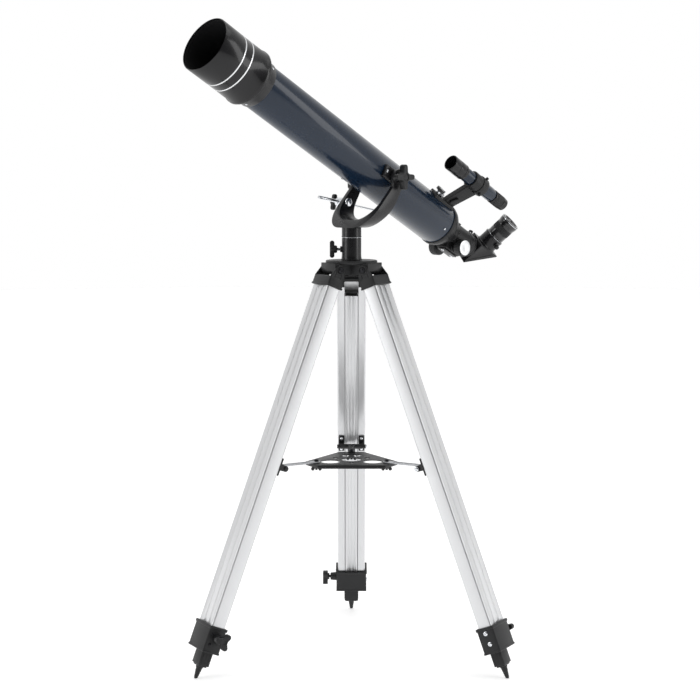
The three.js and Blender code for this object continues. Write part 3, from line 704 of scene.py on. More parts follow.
def tray_outline(inset, round_by=4):
    """The tray's six corners, rounded, drawn in by inset."""
    points = []
    along = tray_corner - inset
    across = corner_half - inset * math.tan(math.radians(30))
    for turn in (90, 210, 330):
        for which in (-1, 1):
            corner_at = Vector((along, which * across))
            centre = corner_at + Vector((-round_by, -which * round_by * math.tan(math.radians(30))))
            start = -60 if which < 0 else 0
            for x, y in arc(centre.x, centre.y, round_by, start, start + 60, 5):
                cos, sin = math.cos(math.radians(turn)), math.sin(math.radians(turn))
                points.append((x * cos - y * sin, x * sin + y * cos))
    return points


plate = slab(tray_outline(0), tray_top - 1.5, tray_top, 0.5)
border = slab(tray_outline(0), tray_top - tray_deep, tray_top - 1, 0.3)
border = cut(border, slab(tray_outline(2.2, 2.5), tray_top - tray_deep - 3, tray_top + 3))
tray = fused(plate, border)
holes, ribs = [], []
hole_at, hole_radius, middle_radius = 41, 16.5, 17


def disc(radius, x, y, low, high):
    """An upright disc in the tray's moulding, with its faces below the tray's top."""
    profile = [(0, low), (radius, low), (radius, high), (0, high)]
    return moved(turned([(r, tray_top + z) for r, z in profile], count=64), shift(x, y, 0))


for turn in (None, *leg_turns.values()):
    at = 0 if turn is None else hole_at
    radius = middle_radius if turn is None else hole_radius
    x, y = at * math.cos(math.radians(turn or 0)), at * math.sin(math.radians(turn or 0))
    holes.append(disc(radius, x, y, -12, 5))
for turn in leg_turns.values():
    cos, sin = math.cos(math.radians(turn + 60)), math.sin(math.radians(turn + 60))
    holes.append(disc(5, 31 * cos, 31 * sin, -12, 5))
    cos, sin = math.cos(math.radians(turn)), math.sin(math.radians(turn))
    holes.append(disc(2.6, tray_bolt_at * cos, tray_bolt_at * sin, -12, 5))
    for y in (-9, 9):
        rib = block((57, 75.5), (y - 0.8, y + 0.8), (tray_top - 5.2, tray_top - 1), 0.2)
        ribs.append(moved(rib, spin(turn, "Z")))
tray = cut(fused(tray, *ribs), *holes)
put(rounded(tray, 0), "tray_moulding", tripod_place, "tray", "black_plastic", charcoal, "accessory_tray")

# Wing nuts -----------------------------------------------------------------------------------
# A domed bolt stands through each arm and tray corner, with a black pressed wing nut below.

under = tray_top - tray_plate - 0.3
over = tray_top + 3.6
wing_outline = [(2.4, -2)] + arc(5.8, -2.3, 3.2, -110, 80, 8) + [(3.4, 1.8), (-3.4, 1.8)]
wing_outline += arc(-5.8, -2.3, 3.2, 100, 290, 8) + [(-2.4, -2)]
for side, turn in leg_turns.items():
    wings = moved(slab(wing_outline, -1.4, 1.4, 0.5), spin(90, "X"), shift(0, 0, under - 4.9))
    nut = turned([(0, under - 6.4), (3.6, under - 6.4), (4.2, under - 5), (5.2, under - 0.8),
                  (5.2, under), (0, under)], 0.2, 40)
    spot = spin(turn, "Z") @ shift(tray_bolt_at, 0, 0) @ spin(-turn, "Z")
    put(moved(rounded(fused(nut, wings), 0), spot), f"wing_nut_piece_{side}", tripod_place,
        f"wing_nut_{side}", "satin_black", enamel, f"wing_nut_{side}")
    screw = [(0, under - 9)]
    for i in range(10):
        screw += [(2.2, under - 9 + i), (1.9, under - 8.5 + i)]
    screw += [(2.2, over), (4.3, over), (4.3, over + 1), (3.4, over + 2.2), (1.8, over + 2.8),
              (0, over + 3)]
    put(moved(turned(screw, count=24), spot), f"tray_bolt_{side}", tripod_place, f"wing_nut_{side}",
        "satin_black",
        blackened)

# Column and its lock -------------------------------------------------------------------------
# A turned steel tube in satin black, flared a little where it meets the head. A boss on its side
# takes the azimuth lock: a plated screw with a moulded tee handle.

column_radius = 16.3
column_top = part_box("azimuth_column")[1].z / mm
spigot_radius = 8
lock_height = joints["azimuth_lock"]["pos_m"][2] / mm
column = turned(
    [
        (spigot_radius + 0.5, head_top + 0.3), (17.9, head_top + 0.3), (17.9, head_top + 1.6),
        (16.9, head_top + 2.4), (16.5, head_top + 6), (column_radius, head_top + 10),
        (column_radius, column_top - 0.9), (column_radius - 0.8, column_top),
        (spigot_radius + 0.5, column_top), (spigot_radius + 0.5, head_top + 0.3),
    ],
    0.15, 96,
)
lug = lying_x(turned([(0, -19), (5, -19), (5, -10), (0, -10)], 0.4, 40))
bore = lying_x(turned([(0, -30), (2.9, -30), (2.9, -6), (0, -6)], count=32))
column = cut(fused(column, moved(lug, shift(0, 0, lock_height))), moved(bore, shift(0, 0, lock_height)))
put(rounded(column, 0), "column_tube", tripod_place, "head", "satin_black", enamel, "azimuth_column")
threads = [(0, spigot_radius + 1.5)]
for i in range(16):
    threads += [(2.6, spigot_radius + 2 + i), (2.25, spigot_radius + 2.5 + i)]
threads += [(2.6, 26), (0, 26.5)]
lock_turn = moved(turned(threads, count=24), spin(-90, "Y"), shift(0, 0, lock_height))
put(lock_turn, "lock_screw", tripod_place, "lock_knob", "chrome", chrome)
tee_outline = arc(10.4, 32.5, 4, -75, 105, 10) + arc(-10.4, 32.5, 4, 75, 255, 10)
tee = fused(
    moved(slab(tee_outline, -4, 4, 1.3, 3), spin(90, "X")),
    turned([(0, 24), (5.2, 24), (6.4, 26), (6.4, 31), (5.4, 35.4), (0, 36)], 0.5, 40),
)
tee = moved(rounded(tee, 0), spin(-90, "Y"), shift(0, 0, lock_height))
put(tee, "lock_tee", tripod_place, "lock_knob", "black_plastic", charcoal, "azimuth_lock_knob")

# Yoke ----------------------------------------------------------------------------------------
# A cast aluminium fork in satin black, leaning forward on a round collar. It turns on a steel
# spigot in the column, with a bright nylon washer showing in the joint.

yoke_axis = Vector(joints["altitude"]["axis"])
altitude_at = Vector(joints["altitude"]["pos_m"])
mount_place = place_of(altitude_at, yoke_axis.cross((0, 0, 1)), (0, 0, 1))
altitude_height = altitude_at.z / mm
altitude_forward = (altitude_at - azimuth_at).xy.length / mm
rise = 83.85
base_height = altitude_height - rise
fork_inside, fork_outside, fork_thick = 45, 52, 13
inner_corner, outer_corner, eye_radius = 34, 36, 13
inner_middle, outer_middle = fork_inside - inner_corner, fork_outside - outer_corner
inner_rise = fork_thick + inner_corner
across_outline = [(fork_outside, rise), (fork_inside, rise)]
across_outline += arc(inner_middle, inner_rise, inner_corner, 0, -90, 16)
across_outline += arc(-inner_middle, inner_rise, inner_corner, -90, -180, 16)
across_outline += [(-fork_inside, rise), (-fork_outside, rise)]
across_outline += arc(-outer_middle, outer_corner, outer_corner, 180, 270, 16)
across_outline += arc(outer_middle, outer_corner, outer_corner, 270, 360, 16)
strap = moved(slab(across_outline, -30, 80), spin(90, "Z"), spin(90, "Y"))
side_outline = [(-22, -6), (11, -6)]
for i in range(13):
    t = i / 12
    along = (34.5 * (1 - t) + 2 * 62.5 * t) * (1 - t) + (altitude_forward + eye_radius) * t * t
    height = (18.7 * (1 - t) + 2 * 48 * t) * (1 - t) + rise * t * t
    side_outline.append((along, height))
side_outline += [(altitude_forward - eye_radius, rise), (altitude_forward - eye_radius, 68)]
band = moved(slab(side_outline, -fork_outside - 1, fork_outside + 1), spin(90, "X"))
strap = rounded(carved(strap, "INTERSECT", [band]), 1.3, 3, 40)
eyes = []
for across in (-1, 1):
    eye = turned([(0, fork_inside), (13, fork_inside), (13, fork_outside + 1.5), (11.6, fork_outside + 1.5),
                  (11, fork_outside + 0.9), (0, fork_outside + 0.9)], 0.5, 64)
    eyes.append(moved(lying_y(eye, 0, across), shift(altitude_forward, 0, rise)))
fork = moved(fused(strap, *eyes), shift(0, 0, base_height))
collar = turned(
    [(0, column_top + 0.6), (column_radius + 0.4, column_top + 0.6),
     (column_radius + 0.4, column_top + 2.2),
     (column_radius, column_top + 3.2), (column_radius, base_height + 0.3),
     (column_radius - 2.3, base_height + 2),
     (0, base_height + 2)],
    0.4, 96,
)
spigot = turned([(0, head_top + 1), (spigot_radius, head_top + 1), (spigot_radius, column_top + 3),
                 (0, column_top + 3)])
yoke_place = place_of((azimuth_at.x, azimuth_at.y, 0), yoke_axis.cross((0, 0, 1)), (0, 0, 1))
fork = fused(fork, collar, spigot)
put(rounded(fork, 0), "yoke_casting", yoke_place, "yoke", "satin_black", enamel, "yoke_fork")
washer = turned([(8.2, column_top + 0.05), (15.9, column_top + 0.05), (15.9, column_top + 0.5),
                 (8.2, column_top + 0.5), (8.2, column_top + 0.05)], 0.05, 64)
put(washer, "azimuth_washer", yoke_place, "yoke", "chrome", chrome)

# Altitude knobs ------------------------------------------------------------------------------
# Four-lobed clamping knobs, one outside each arm of the yoke. A plated stud from each goes
# through the arm, behind a bright washer, into the tube's pivot plate.

for side, across in (("right", 1), ("left", -1)):
    star = slab(lobed_outline(4, 9.4, 21, 4.6), 57.5, 69, 1.5, 3)
    hollow = turned([(0, 67.4), (6.2, 67.4), (7, 70), (0, 70)], 0.2, 40)
    skirt = turned([(0, 54.6), (7, 54.6), (8.4, 58), (0, 58)], 0.4, 40)
    star = lying_y(rounded(fused(cut(star, hollow), skirt), 0), 0, across)
    put(star, f"altitude_knob_piece_{side}", mount_place, f"altitude_knob_{side}", "black_plastic",
        charcoal,
        f"altitude_knob_{side}")
    stud = turned([(0, 40.8), (3, 40.8), (3, 53.6), (7.9, 53.6), (7.9, 54.5), (3, 54.5), (3, 57),
                   (0, 57)], 0.15, 40)
    put(lying_y(stud, 0, across), f"altitude_stud_{side}", mount_place, f"altitude_knob_{side}",
        "chrome", chrome)

# Slow-motion rod -----------------------------------------------------------------------------
# A plated rod, pinned under the tube, slides through a swivel bolted to the right arm. A wing
# screw in the swivel's end grips it. The bolt's domed head shows inside the yoke.

swing = joints["rod_swing"]
rod_direction = -Vector(joints["rod_slide"]["axis"])
swivel_place = place_of(swing["pos_m"], rod_direction, rod_direction.cross(yoke_axis))
rod_plane = 63
dome = moved(lying_y(screw_head(7.5, 4.4, 48, 0.42), 0, -1), shift(0, 44.8, 0))
barrel = lying_y(turned([(0, 44.6), (4, 44.6), (4, 52.6), (8, 52.6), (8, 69.6), (7.2, 70.6), (0, 71)],
                        0.3, 48))
way = moved(lying_x(turned([(0, -20), (3.3, -20), (3.3, 20), (0, 20)], count=32)), shift(0, rod_plane, 0))
swivel = fused(dome, cut(barrel, way))
put(rounded(swivel, 0), "swivel_bolt", swivel_place, "swivel", "chrome", chrome, "rod_swivel")
handle = slab(arc(10, 0, 3.8, -80, 80, 8) + arc(-10, 0, 3.8, 100, 260, 8), 77, 84, 1.2, 3)
handle = fused(handle, turned([(0, 75), (5, 75), (6.2, 77), (6.2, 82), (5, 84.4), (0, 84.8)], 0.4, 40))
stem = turned([(0, 70.5), (2.5, 70.5), (2.5, 76), (0, 76)], count=24)
put(moved(lying_y(rounded(handle, 0)), spin(90, "Y")), "rod_wing", swivel_place, "rod_clamp_knob",
    "black_plastic", charcoal, "rod_clamp_knob")
put(lying_y(stem), "rod_wing_stem", swivel_place, "rod_clamp_knob", "chrome", chrome)
eye_at = 98.9
rod = turned([(0, -52), (2.2, -52), (3, -51), (3, eye_at - 71.5), (1.9, eye_at - 69.5),
              (1.9, eye_at - 4), (0, eye_at - 4)], 0.15, 40)
eye = moved(lying_y(turned([(0, -2.2), (5, -2.2), (5, 2.2), (0, 2.2)], 0.5, 40), rod_plane),
            shift(eye_at, 0, 0))
pin_end = moved(lying_y(screw_head(2.4, 1.6), rod_plane + 2), shift(eye_at, 0, 0))
rod = joined(fused(moved(lying_x(rod), shift(0, rod_plane, 0)), eye), pin_end)
put(rounded(rod, 0), "slow_motion_rod", swivel_place, "altitude_rod", "chrome", chrome, "altitude_rod")

# Main tube -----------------------------------------------------------------------------------
# Rolled steel tube, sprayed deep navy and lacquered. Three small domed screws near each end hold
# the objective cell and the focuser.

tube_direction = Vector(joints["focus_travel"]["axis"])
tube_place = place_of(altitude_at, tube_direction, tube_direction.cross(yoke_axis))


def lacquer(name, tone, deep_tone):
    """Pigment under clear lacquer, with fine flake and faint orange peel."""
    finish = Finish(name, Coat_Weight=0.4, Coat_Roughness=0.05, Specular_IOR_Level=0.25)
    flake = finish.node("TexVoronoi", inputs={"Vector": finish.place, "Scale": 3200})
    cloud = finish.noise(12, 3)
    peel = finish.noise(260, 2)
    finish.set("Base Color", finish.colour(deep_tone, tone, cloud * 0.6 + flake * 0.4))
    finish.set("Roughness", cloud * 0.08 + peel * 0.04 + 0.2)
    finish.bump(peel, 0.00003, 0.15)
    return finish.material


navy = lacquer("navy_lacquer", (0.007, 0.02, 0.044), (0.003, 0.009, 0.021))
tube_radius, tube_wall = 38, 1.4
tube_front, tube_end = -316, 167.5
tube = lying_x(turned(
    [(tube_radius, tube_front), (tube_radius, tube_end), (tube_radius - tube_wall, tube_end),
     (tube_radius - tube_wall, tube_front), (tube_radius, tube_front)],
    0.35, 160,
))
put(tube, "main_tube_shell", tube_place, "tube", "navy_paint", navy, "main_tube")


def screws_round(radius, station, first, count=3, head=1.9, height=1.2):
    """Small screws spaced evenly round the tube's axis, heads outwards."""
    heads = []
    for i in range(count):
        screw = moved(screw_head(head, height, 24), shift(0, 0, radius), spin(first + i * 360 / count, "X"))
        heads.append(moved(screw, shift(station, 0, 0)))
    return joined(*heads)


tube_screws = joined(screws_round(tube_radius, 157, 115), screws_round(39.9, -308.5, 55))
put(tube_screws, "tube_screws", tube_place, "tube", "chrome", chrome)

# Dew shield ----------------------------------------------------------------------------------
# A thin gloss-black tube pushed over the cell, with a stepped flange at its back and two narrow
# silver bands let into it. It is flocked inside against stray light.


def piano_black(name, coat):
    finish = Finish(name, Coat_Weight=coat, Coat_Roughness=0.06, Specular_IOR_Level=0.3)
    cloud = finish.noise(26, 3)
    peel = finish.noise(300, 2)
    finish.set("Base Color", finish.colour((0.005, 0.005, 0.0055), (0.011, 0.011, 0.0125), cloud))
    finish.set("Roughness", cloud * 0.08 + peel * 0.06 + 0.14)
    finish.bump(peel, 0.00004, 0.25)
    return finish.material


def flocking(name):
    finish = Finish(name, Specular_IOR_Level=0.2)
    pile = finish.noise(3000, 2)
    finish.set("Base Color", finish.colour((0.004, 0.004, 0.0042), (0.016, 0.016, 0.017), pile))
    finish.set("Roughness", pile * 0.1 + 0.85)
    finish.bump(pile, 0.0003, 0.8)
    return finish.material


gloss_black = piano_black("gloss_black", 0.15)
flock = flocking("black_flock")
shield_front, shield_end, shield_radius = -421, -322, 46.6
bands = (-376.8, -360.6)
band_half = 1.1
profile = [(shield_radius - 1.6, shield_front + 0.4), (shield_radius - 0.7, shield_front),
           (shield_radius, shield_front + 0.9)]
for band in bands:
    profile += [(shield_radius, band - band_half), (shield_radius - 0.25, band - band_half),
                (shield_radius - 0.25, band + band_half), (shield_radius, band + band_half)]
profile += [
    (shield_radius + 0.3, shield_end - 6), (shield_radius + 1.6, shield_end - 4.2),
    (shield_radius + 1.6, shield_end - 0.4), (shield_radius + 1.2, shield_end),
    (shield_radius - 1.6, shield_end),
    (shield_radius - 1.6, shield_front + 0.4),
]
put(lying_x(turned(profile, 0, 160)), "dew_shield_shell", tube_place, "tube", "gloss_black", gloss_black,
    "dew_shield")
lining = [(shield_radius - 1.6, shield_front + 3)]
for i in range(24):
    station = shield_front + 4 + i * 3
    lining += [(shield_radius - 2.1, station), (shield_radius - 1.75, station + 1.5)]
lining += [(shield_radius - 1.6, shield_end - 22), (shield_radius - 1.6, shield_front + 3)]
put(lying_x(turned(lining, 0, 96)), "dew_shield_lining", tube_place, "tube", "gloss_black", flock)
silver_line = plated_steel("silver_line", (0.86, 0.87, 0.88), 0.24)
for name, band in zip(("front", "rear"), bands):
    low, high = band - band_half, band + band_half
    strip = [(shield_radius - 0.3, low), (shield_radius + 0.05, low), (shield_radius + 0.05, high),
             (shield_radius - 0.3, high), (shield_radius - 0.3, low)]
    put(lying_x(turned(strip, 0.05, 160)), f"silver_band_{name}", tube_place, "tube", "chrome", silver_line)

# Objective -----------------------------------------------------------------------------------
# A turned cell, screwed in the tube's mouth, seats the coated lens against a shoulder, under a
# threaded retaining ring with two wrench notches.

cell = turned(
    [(44.5, -342), (44.9, -341), (44.9, -321.7), (46.2, -321.7), (46.2, -318.8), (45.4, -318.2),
     (41, -317.4),
     (40.2, -316.4), (40.2, -312), (39.8, -311.4), (39.8, -301), (39.2, -300), (38.3, -300), (38.3, -317),
     (34.5, -317), (34.5, -325), (36.8, -325), (36.8, -341.4), (37.4, -342), (44.5, -342)],
    0.15, 128,
)
put(lying_x(cell), "cell_ring", tube_place, "tube", "satin_black", enamel, "objective_cell")
retainer = turned([(34.6, -342.2), (36.6, -342.2), (36.6, -339.6), (34.6, -337), (34.6, -342.2)], 0.15, 128)
notches = [moved(block((-3, 3), (33, 38), (-344, -340.6)), spin(turn, "Z")) for turn in (0, 180)]
put(lying_x(rounded(cut(retainer, *notches), 0)), "lens_retainer", tube_place, "tube", "satin_black",
    enamel)


def coated_glass(name):
    """Optical glass whose base colour is a painted reflection of a purple-green anti-reflection coating,
    shifting with the viewing angle.
    """
    finish = Finish(name, Coat_Weight=1.0, Coat_Roughness=0.01, Specular_IOR_Level=0.6)
    # Painted reflection: the base colour runs from near black where the glass faces the view to blue and
    # purple at grazing angles, standing in for the coating's reflected tint.
    rim = finish.node("LayerWeight", inputs={"Blend": 0.35}, output="Facing")
    painted_reflection_tint = finish.node("ValToRGB", {"stops": [(0.0, (0.004, 0.008, 0.012)), (0.55, (0.012, 0.02, 0.05)),
                                              (1.0, (0.05, 0.03, 0.09))]}, {"Fac": rim})
    haze = finish.noise(90, 3)
    finish.set("Base Color", painted_reflection_tint)
    finish.set("Roughness", haze * 0.03 + 0.02)
    finish.bump(haze, 0.00001, 0.1)
    return finish.material


coated = coated_glass("coated_glass")
lens = turned(
    [(0, -339.4)] + [(r, -339.4 + (r / 36.4) ** 2 * 3) for r in (6, 12, 18, 24, 30, 36.4)]
    + [(36.4, -325.5)] + [(r, -324 - (r / 36.4) ** 2 * 1.4) for r in (30, 20, 10)] + [(0, -324)],
    0, 96,
)
put(lying_x(lens), "objective_glass", tube_place, "tube", "glass", coated, "objective_lens")

# Pivot plates and rod bracket ----------------------------------------------------------------
# Cast pads are screwed to both sides of the tube and tapped for the altitude studs. Under the
# tube a small plated bracket holds the end of the slow-motion rod.

for side, turn in (("right", 0), ("left", 180)):
    pad = block((-26, 18), (26, 43.2), (-11, 11), 1.6, 3)
    seat = lying_y(turned([(0, 38), (9.5, 38), (9.5, 44), (8.8, 44.6), (0, 44.6)], 0.2, 48))
    tube_room = lying_x(turned([(0, -60), (tube_radius + 0.3, -60), (tube_radius + 0.3, 60), (0, 60)],
                               count=96))
    hole = lying_y(turned([(0, 30), (3.3, 30), (3.3, 60), (0, 60)], count=32))
    pad = moved(rounded(cut(fused(pad, seat), tube_room, hole), 0), spin(turn, "X"))
    put(pad, f"pivot_pad_{side}", tube_place, "tube", "satin_black", enamel, f"pivot_plate_{side}")
    heads = [moved(lying_y(screw_head(2.6, 1.6, 24), 43), shift(x, 0, 0)) for x in (-20.5, 13)]
    put(moved(joined(*heads), spin(turn, "X")), f"pivot_screws_{side}", tube_place, "tube", "chrome",
        chrome)
rod_along, rod_below = 92, 19
foot = block((-5, 5), (tube_radius - 10, rod_plane - 3.6), (-1.4, 1.4), 0.5)
tab_outline = [(-6, -6), (6, -6), (6, 9)] + arc(0, 9.5, 6, 0, 180, 10)
tab = moved(slab(tab_outline, rod_plane - 5.2, rod_plane - 2.8, 0.4), spin(90, "X"),
            Matrix.Scale(-1, 4, (0, 1, 0)))
tab.data.flip_normals()
tube_room = lying_x(turned([(0, -60), (tube_radius + 0.3, -60), (tube_radius + 0.3, 60), (0, 60)],
                           count=96))
angle = cut(fused(foot, tab), moved(tube_room, shift(0, 0, rod_below)))
put(moved(rounded(angle, 0), shift(rod_along, 0, -rod_below)), "rod_tab", tube_place, "tube",
    "grey_steel", zinc,
    "rod_bracket")

# Focuser -------------------------------------------------------------------------------------
# A moulded cone closes the tube's end and guides the drawtube. The pinion runs under it in a
# squared housing, closed by a black plate with two screws.

focus_at, focus_below = 216, 22.6
draw_radius = 18.2
cone = turned(
    [(36.3, tube_end - 14), (36.3, tube_end + 0.3), (39, tube_end + 0.3), (39, 173.4), (38.6, 174.6),
     (36.6, 180.5), (33.4, 185.6), (29.6, 189.6), (27.4, 193), (25.6, 198.6), (23.6, 202.2), (21.8, 204.4),
     (21.8, 238), (22.6, 239), (22.6, 244), (22, 245), (18.5, 245), (18.5, 190), (33, 178),
     (33, tube_end - 14), (36.3, tube_end - 14)],
    0.25, 128,
)
housing = block((focus_at - 19, focus_at + 19), (-12, 12), (-32, -14), 2.4, 4)
cheeks = lying_y(turned([(0, -15.5), (9.6, -15.5), (9.6, 15.5), (0, 15.5)], 0.8, 48))
fins = []
for turn in range(0, 360, 45):
    if turn != 180:
        fin = block((186, 206), (-0.9, 0.9), (21, 25.4), 0.4)
        fins.append(moved(fin, spin(turn, "X")))
body = fused(lying_x(cone), housing, moved(cheeks, shift(focus_at, 0, -focus_below)), *fins)
body = cut(
    body,
    lying_x(turned([(0, 186), (draw_radius + 0.3, 186), (draw_radius + 0.3, 260), (0, 260)], count=96)),
    moved(lying_y(turned([(0, -40), (3.3, -40), (3.3, 40), (0, 40)], count=32)),
          shift(focus_at, 0, -focus_below)),
)
put(rounded(body, 0), "focuser_casting", tube_place, "tube", "black_plastic", charcoal, "focuser_body")
put(screws_round(21.9, 241.5, 30, 3, 1.7, 1.4), "focuser_screws", tube_place, "tube", "chrome", chrome)
cover = block((focus_at - 18, focus_at + 16), (-8.5, 8.5), (-34.4, -32.3), 0.5)
cover_screws = [moved(screw_head(2.7, 1.5, 24), spin(180, "X"),
                      shift(focus_at + x, 0, -34.3)) for x in (-13, 11)]
put(cover, "pinion_plate", tube_place, "tube", "satin_black", enamel, "pinion_cover")
put(joined(*cover_screws), "pinion_plate_screws", tube_place, "tube", "chrome", chrome)

# Drawtube ------------------------------------------------------------------------------------
# Turned tube with a toothed rack let in underneath. Its knurled collar takes the diagonal, held
# by a small thumb screw.


def fluted(radius, depth, count):
    """A round outline with shallow rounded flutes."""
    points = []
    for i in range(count * 4):
        turn = 2 * math.pi * i / (count * 4)
        dip = depth * (0.5 - 0.5 * math.cos(turn * count))
        points.append(((radius - dip) * math.cos(turn), (radius - dip) * math.sin(turn)))
    return points


collar_back = 258.5
draw = turned([(16.2, 150), (draw_radius, 150), (draw_radius, 245.6), (20.6, 245.6), (21, 246.2), (21, 248),
               (20.4, 248.4), (20.4, 256), (21, 256.4), (21, collar_back - 0.6), (20.4, collar_back),
               (16.2, collar_back), (16.2, 150)], 0, 96)
teeth = [(152 + i * 2 + lift, -depth) for i in range(39) for lift,
         depth in ((0, 18), (0.6, 19.3), (1.4, 19.3))]
teeth += [(231, -18), (231, -17.6), (152, -17.6)]
rack = moved(slab(teeth, -3, 3), spin(90, "X"))
put(joined(lying_x(draw), rack), "drawtube_shell", tube_place, "drawtube", "satin_black", enamel,
    "drawtube")
put(lying_x(slab(fluted(20.9, 0.4, 60), 248.6, 255.8, 0.1, 1)), "drawtube_knurl", tube_place, "drawtube",
    "satin_black", enamel)


def thumb_screw(length, radius=4):
    """A small screw with a fluted plastic head, standing on Z = 0."""
    head = slab(fluted(radius, 0.45, 12), length - 5, length, 0.4)
    shank = turned([(0, 0), (1.9, 0), (1.9, length - 5.6), (2.8, length - 5), (0, length - 5)], count=24)
    return joined(head, shank)


put(moved(thumb_screw(12.5), shift(252, 0, 16.4)), "drawtube_screw", tube_place, "drawtube",
    "black_plastic",
    charcoal)

# Focus knobs ---------------------------------------------------------------------------------
# Two fluted knobs on one steel shaft. Each has a spun aluminium disc pressed in its face.

knobs = []
discs = []
spun = plated_steel("spun_aluminium", (0.86, 0.87, 0.88), 0.28, 0.1)
for across in (-1, 1):
    rim = slab(fluted(15, 0.6, 36), 23.4, 36.8, 0.5)
    face = turned([(0, 36), (13.6, 36), (14, 36.8), (14, 37.6), (13.5, 38), (13.1, 37.4), (0, 37.4)], 0, 64)
    back = turned([(0, 18), (5.8, 18), (6.2, 20), (9, 22), (13.6, 22.6), (14, 24), (0, 24)], 0.3, 64)
    knobs.append(lying_y(joined(rim, face, back), 0, across))
    cap = turned([(0, 37.2), (13.1, 37.2), (13.1, 37.8), (12.6, 38), (4, 37.9), (3.2, 37.6),
                  (0, 37.6)], 0, 64)
    discs.append(lying_y(cap, 0, across))
shaft = moved(turned([(0, -20), (2.9, -20), (2.9, 20), (0, 20)], count=32), spin(90, "X"))
axle = shift(focus_at, 0, -focus_below)
put(moved(joined(*knobs), axle), "focus_knobs", tube_place, "focus_shaft", "black_plastic", charcoal,
    "focus_shaft")
put(moved(joined(*discs), axle), "focus_knob_discs", tube_place, "focus_shaft", "chrome", spun)
put(moved(shaft, axle), "focus_axle", tube_place, "focus_shaft", "chrome", chrome)

# Star diagonal -------------------------------------------------------------------------------
# A moulded prism box turns the light up to the eyepiece. Its sloping side is a screwed mirror
# cover, its nose slides in the drawtube, and a collar with a thumb screw takes the eyepiece.

diagonal_turn = joints["diagonal_turn"]
eyepiece_direction = Vector(joints["eyepiece_pull"]["axis"])
diagonal_place = place_of(diagonal_turn["pos_m"], tube_direction, eyepiece_direction)
side_length = 47
half = side_length / 2
prism = moved(slab([(0, -half + 1.4), (1.4, -half + 0.6), (side_length - 1, half - 2.2),
                    (side_length - 1, half),
                    (0, half)], -19.5, 19.5, 0.9, 3), spin(90, "X"))
panels = []
for across in (-1, 1):
    span = sorted((across * 18.9, across * 21))
    panel = slab([(3, -half + 9), (side_length - 11, half - 3), (3, half - 3)], *span, 0.3)
    panels.append(moved(panel, spin(90, "X")))
nose = lying_x(turned([(14, -26), (15.4, -26), (15.8, -25.4), (15.8, -8), (15.4, -7.6), (15.4, -6.4),
                       (15.8, -6),
                       (15.8, 1), (14, 1), (14, -26)], 0, 96))
flange = lying_x(turned([(13, -1.2), (19, -1.2), (19.4, -0.6), (19.4, 1), (13, 1), (13, -1.2)], 0.1, 96))
holder = moved(turned([(16.1, half - 1), (19.4, half - 1), (19.4, half + 1.6), (18.4, half + 2.4),
                       (18.4, half + 18), (18.9, half + 18.6), (18.9, half + 21.4), (18.2, half + 22),
                       (16.1, half + 22), (16.1, half - 1)], 0.1, 96), shift(half, 0, 0))
box_body = joined(cut(prism, *panels), nose, flange, holder)
put(rounded(box_body, 0), "diagonal_body", diagonal_place, "diagonal", "satin_black", gloss_black,
    "star_diagonal")
slope = math.degrees(math.atan2(side_length, side_length))
mirror_cover = block((-29, 29), (-16.5, 16.5), (-0.7, 0.5), 0.4)
cover_place = [spin(-slope, "Y"), shift(half + 0.2, 0, -0.2)]
put(moved(mirror_cover, *cover_place), "mirror_cover", diagonal_place, "diagonal", "satin_black", charcoal)
cover_heads = []
for x, y in ((-25, -13), (-25, 13), (25, -13), (25, 13)):
    cover_heads.append(moved(screw_head(1.7, 1), spin(180, "X"), shift(x, y, -0.6)))
put(moved(joined(*cover_heads), *cover_place), "mirror_cover_screws", diagonal_place, "diagonal",
    "chrome", chrome)
screw_rise = half + 14
put(moved(thumb_screw(11), spin(90, "X"), shift(half, -16.1, screw_rise)), "eyepiece_screw_piece",
    diagonal_place,
    "eyepiece_screw", "black_plastic", charcoal, "eyepiece_thumb_screw")
put(moved(screw_head(2.2, 1.6), spin(-90, "X"), shift(half, 18.2, screw_rise)), "holder_screw",
    diagonal_place,
    "diagonal", "chrome", chrome)

# Eyepiece ------------------------------------------------------------------------------------
# A chromed barrel slides in the diagonal's collar. Above it are a black turned body with a
# fluted grip, and a soft cup around the eye lens.

eyepiece_black = piano_black("eyepiece_black", 0.8)
barrel_start = half + 1
barrel = turned([(13.5, barrel_start), (15.6, barrel_start), (15.8, barrel_start + 0.4), (15.8, 34),
                 (15.4, 34.4),
                 (15.4, 36), (15.8, 36.4), (15.8, 46.6), (13.5, 46.6), (13.5, barrel_start)], 0, 96)
put(moved(barrel, shift(half, 0, 0)), "eyepiece_barrel", diagonal_place, "eyepiece", "chrome", chrome)
shell = turned([(0, 46.3), (16.4, 46.3), (16.9, 46.9), (16.9, 50), (16.4, 50.4), (16.4, 51.2), (16.9, 51.6),
                (17, 58), (16.5, 58.4), (16.5, 70.6), (17.2, 71), (17.3, 75), (17.9, 76), (18.2, 80),
                (18.2, 84.4),
                (17.6, 85.2), (15.6, 85.5), (14.5, 85.1), (12.4, 82), (11.2, 81), (0, 81)], 0, 96)
put(moved(shell, shift(half, 0, 0)), "eyepiece_body", diagonal_place, "eyepiece", "satin_black",
    eyepiece_black,
    "eyepiece")
grip_ring = slab(fluted(17.1, 0.5, 54), 58.8, 70.2, 0.1, 1)
put(moved(grip_ring, shift(half, 0, 0)), "eyepiece_grip", diagonal_place, "eyepiece", "satin_black",
    charcoal)
eye_lens = turned([(0, 80.5), (10.6, 80.5), (10.6, 81.2), (8, 81.9), (5, 82.3), (2.5, 82.5),
                   (0, 82.6)], 0, 64)
put(moved(eye_lens, shift(half, 0, 0)), "eye_lens", diagonal_place, "eyepiece", "glass", coated)
trim = turned([(17.9, 83.2), (18.25, 83.2), (18.25, 84), (17.9, 84), (17.9, 83.2)], 0, 96)
put(moved(trim, shift(half, 0, 0)), "eyepiece_trim", diagonal_place, "eyepiece", "chrome", chrome)

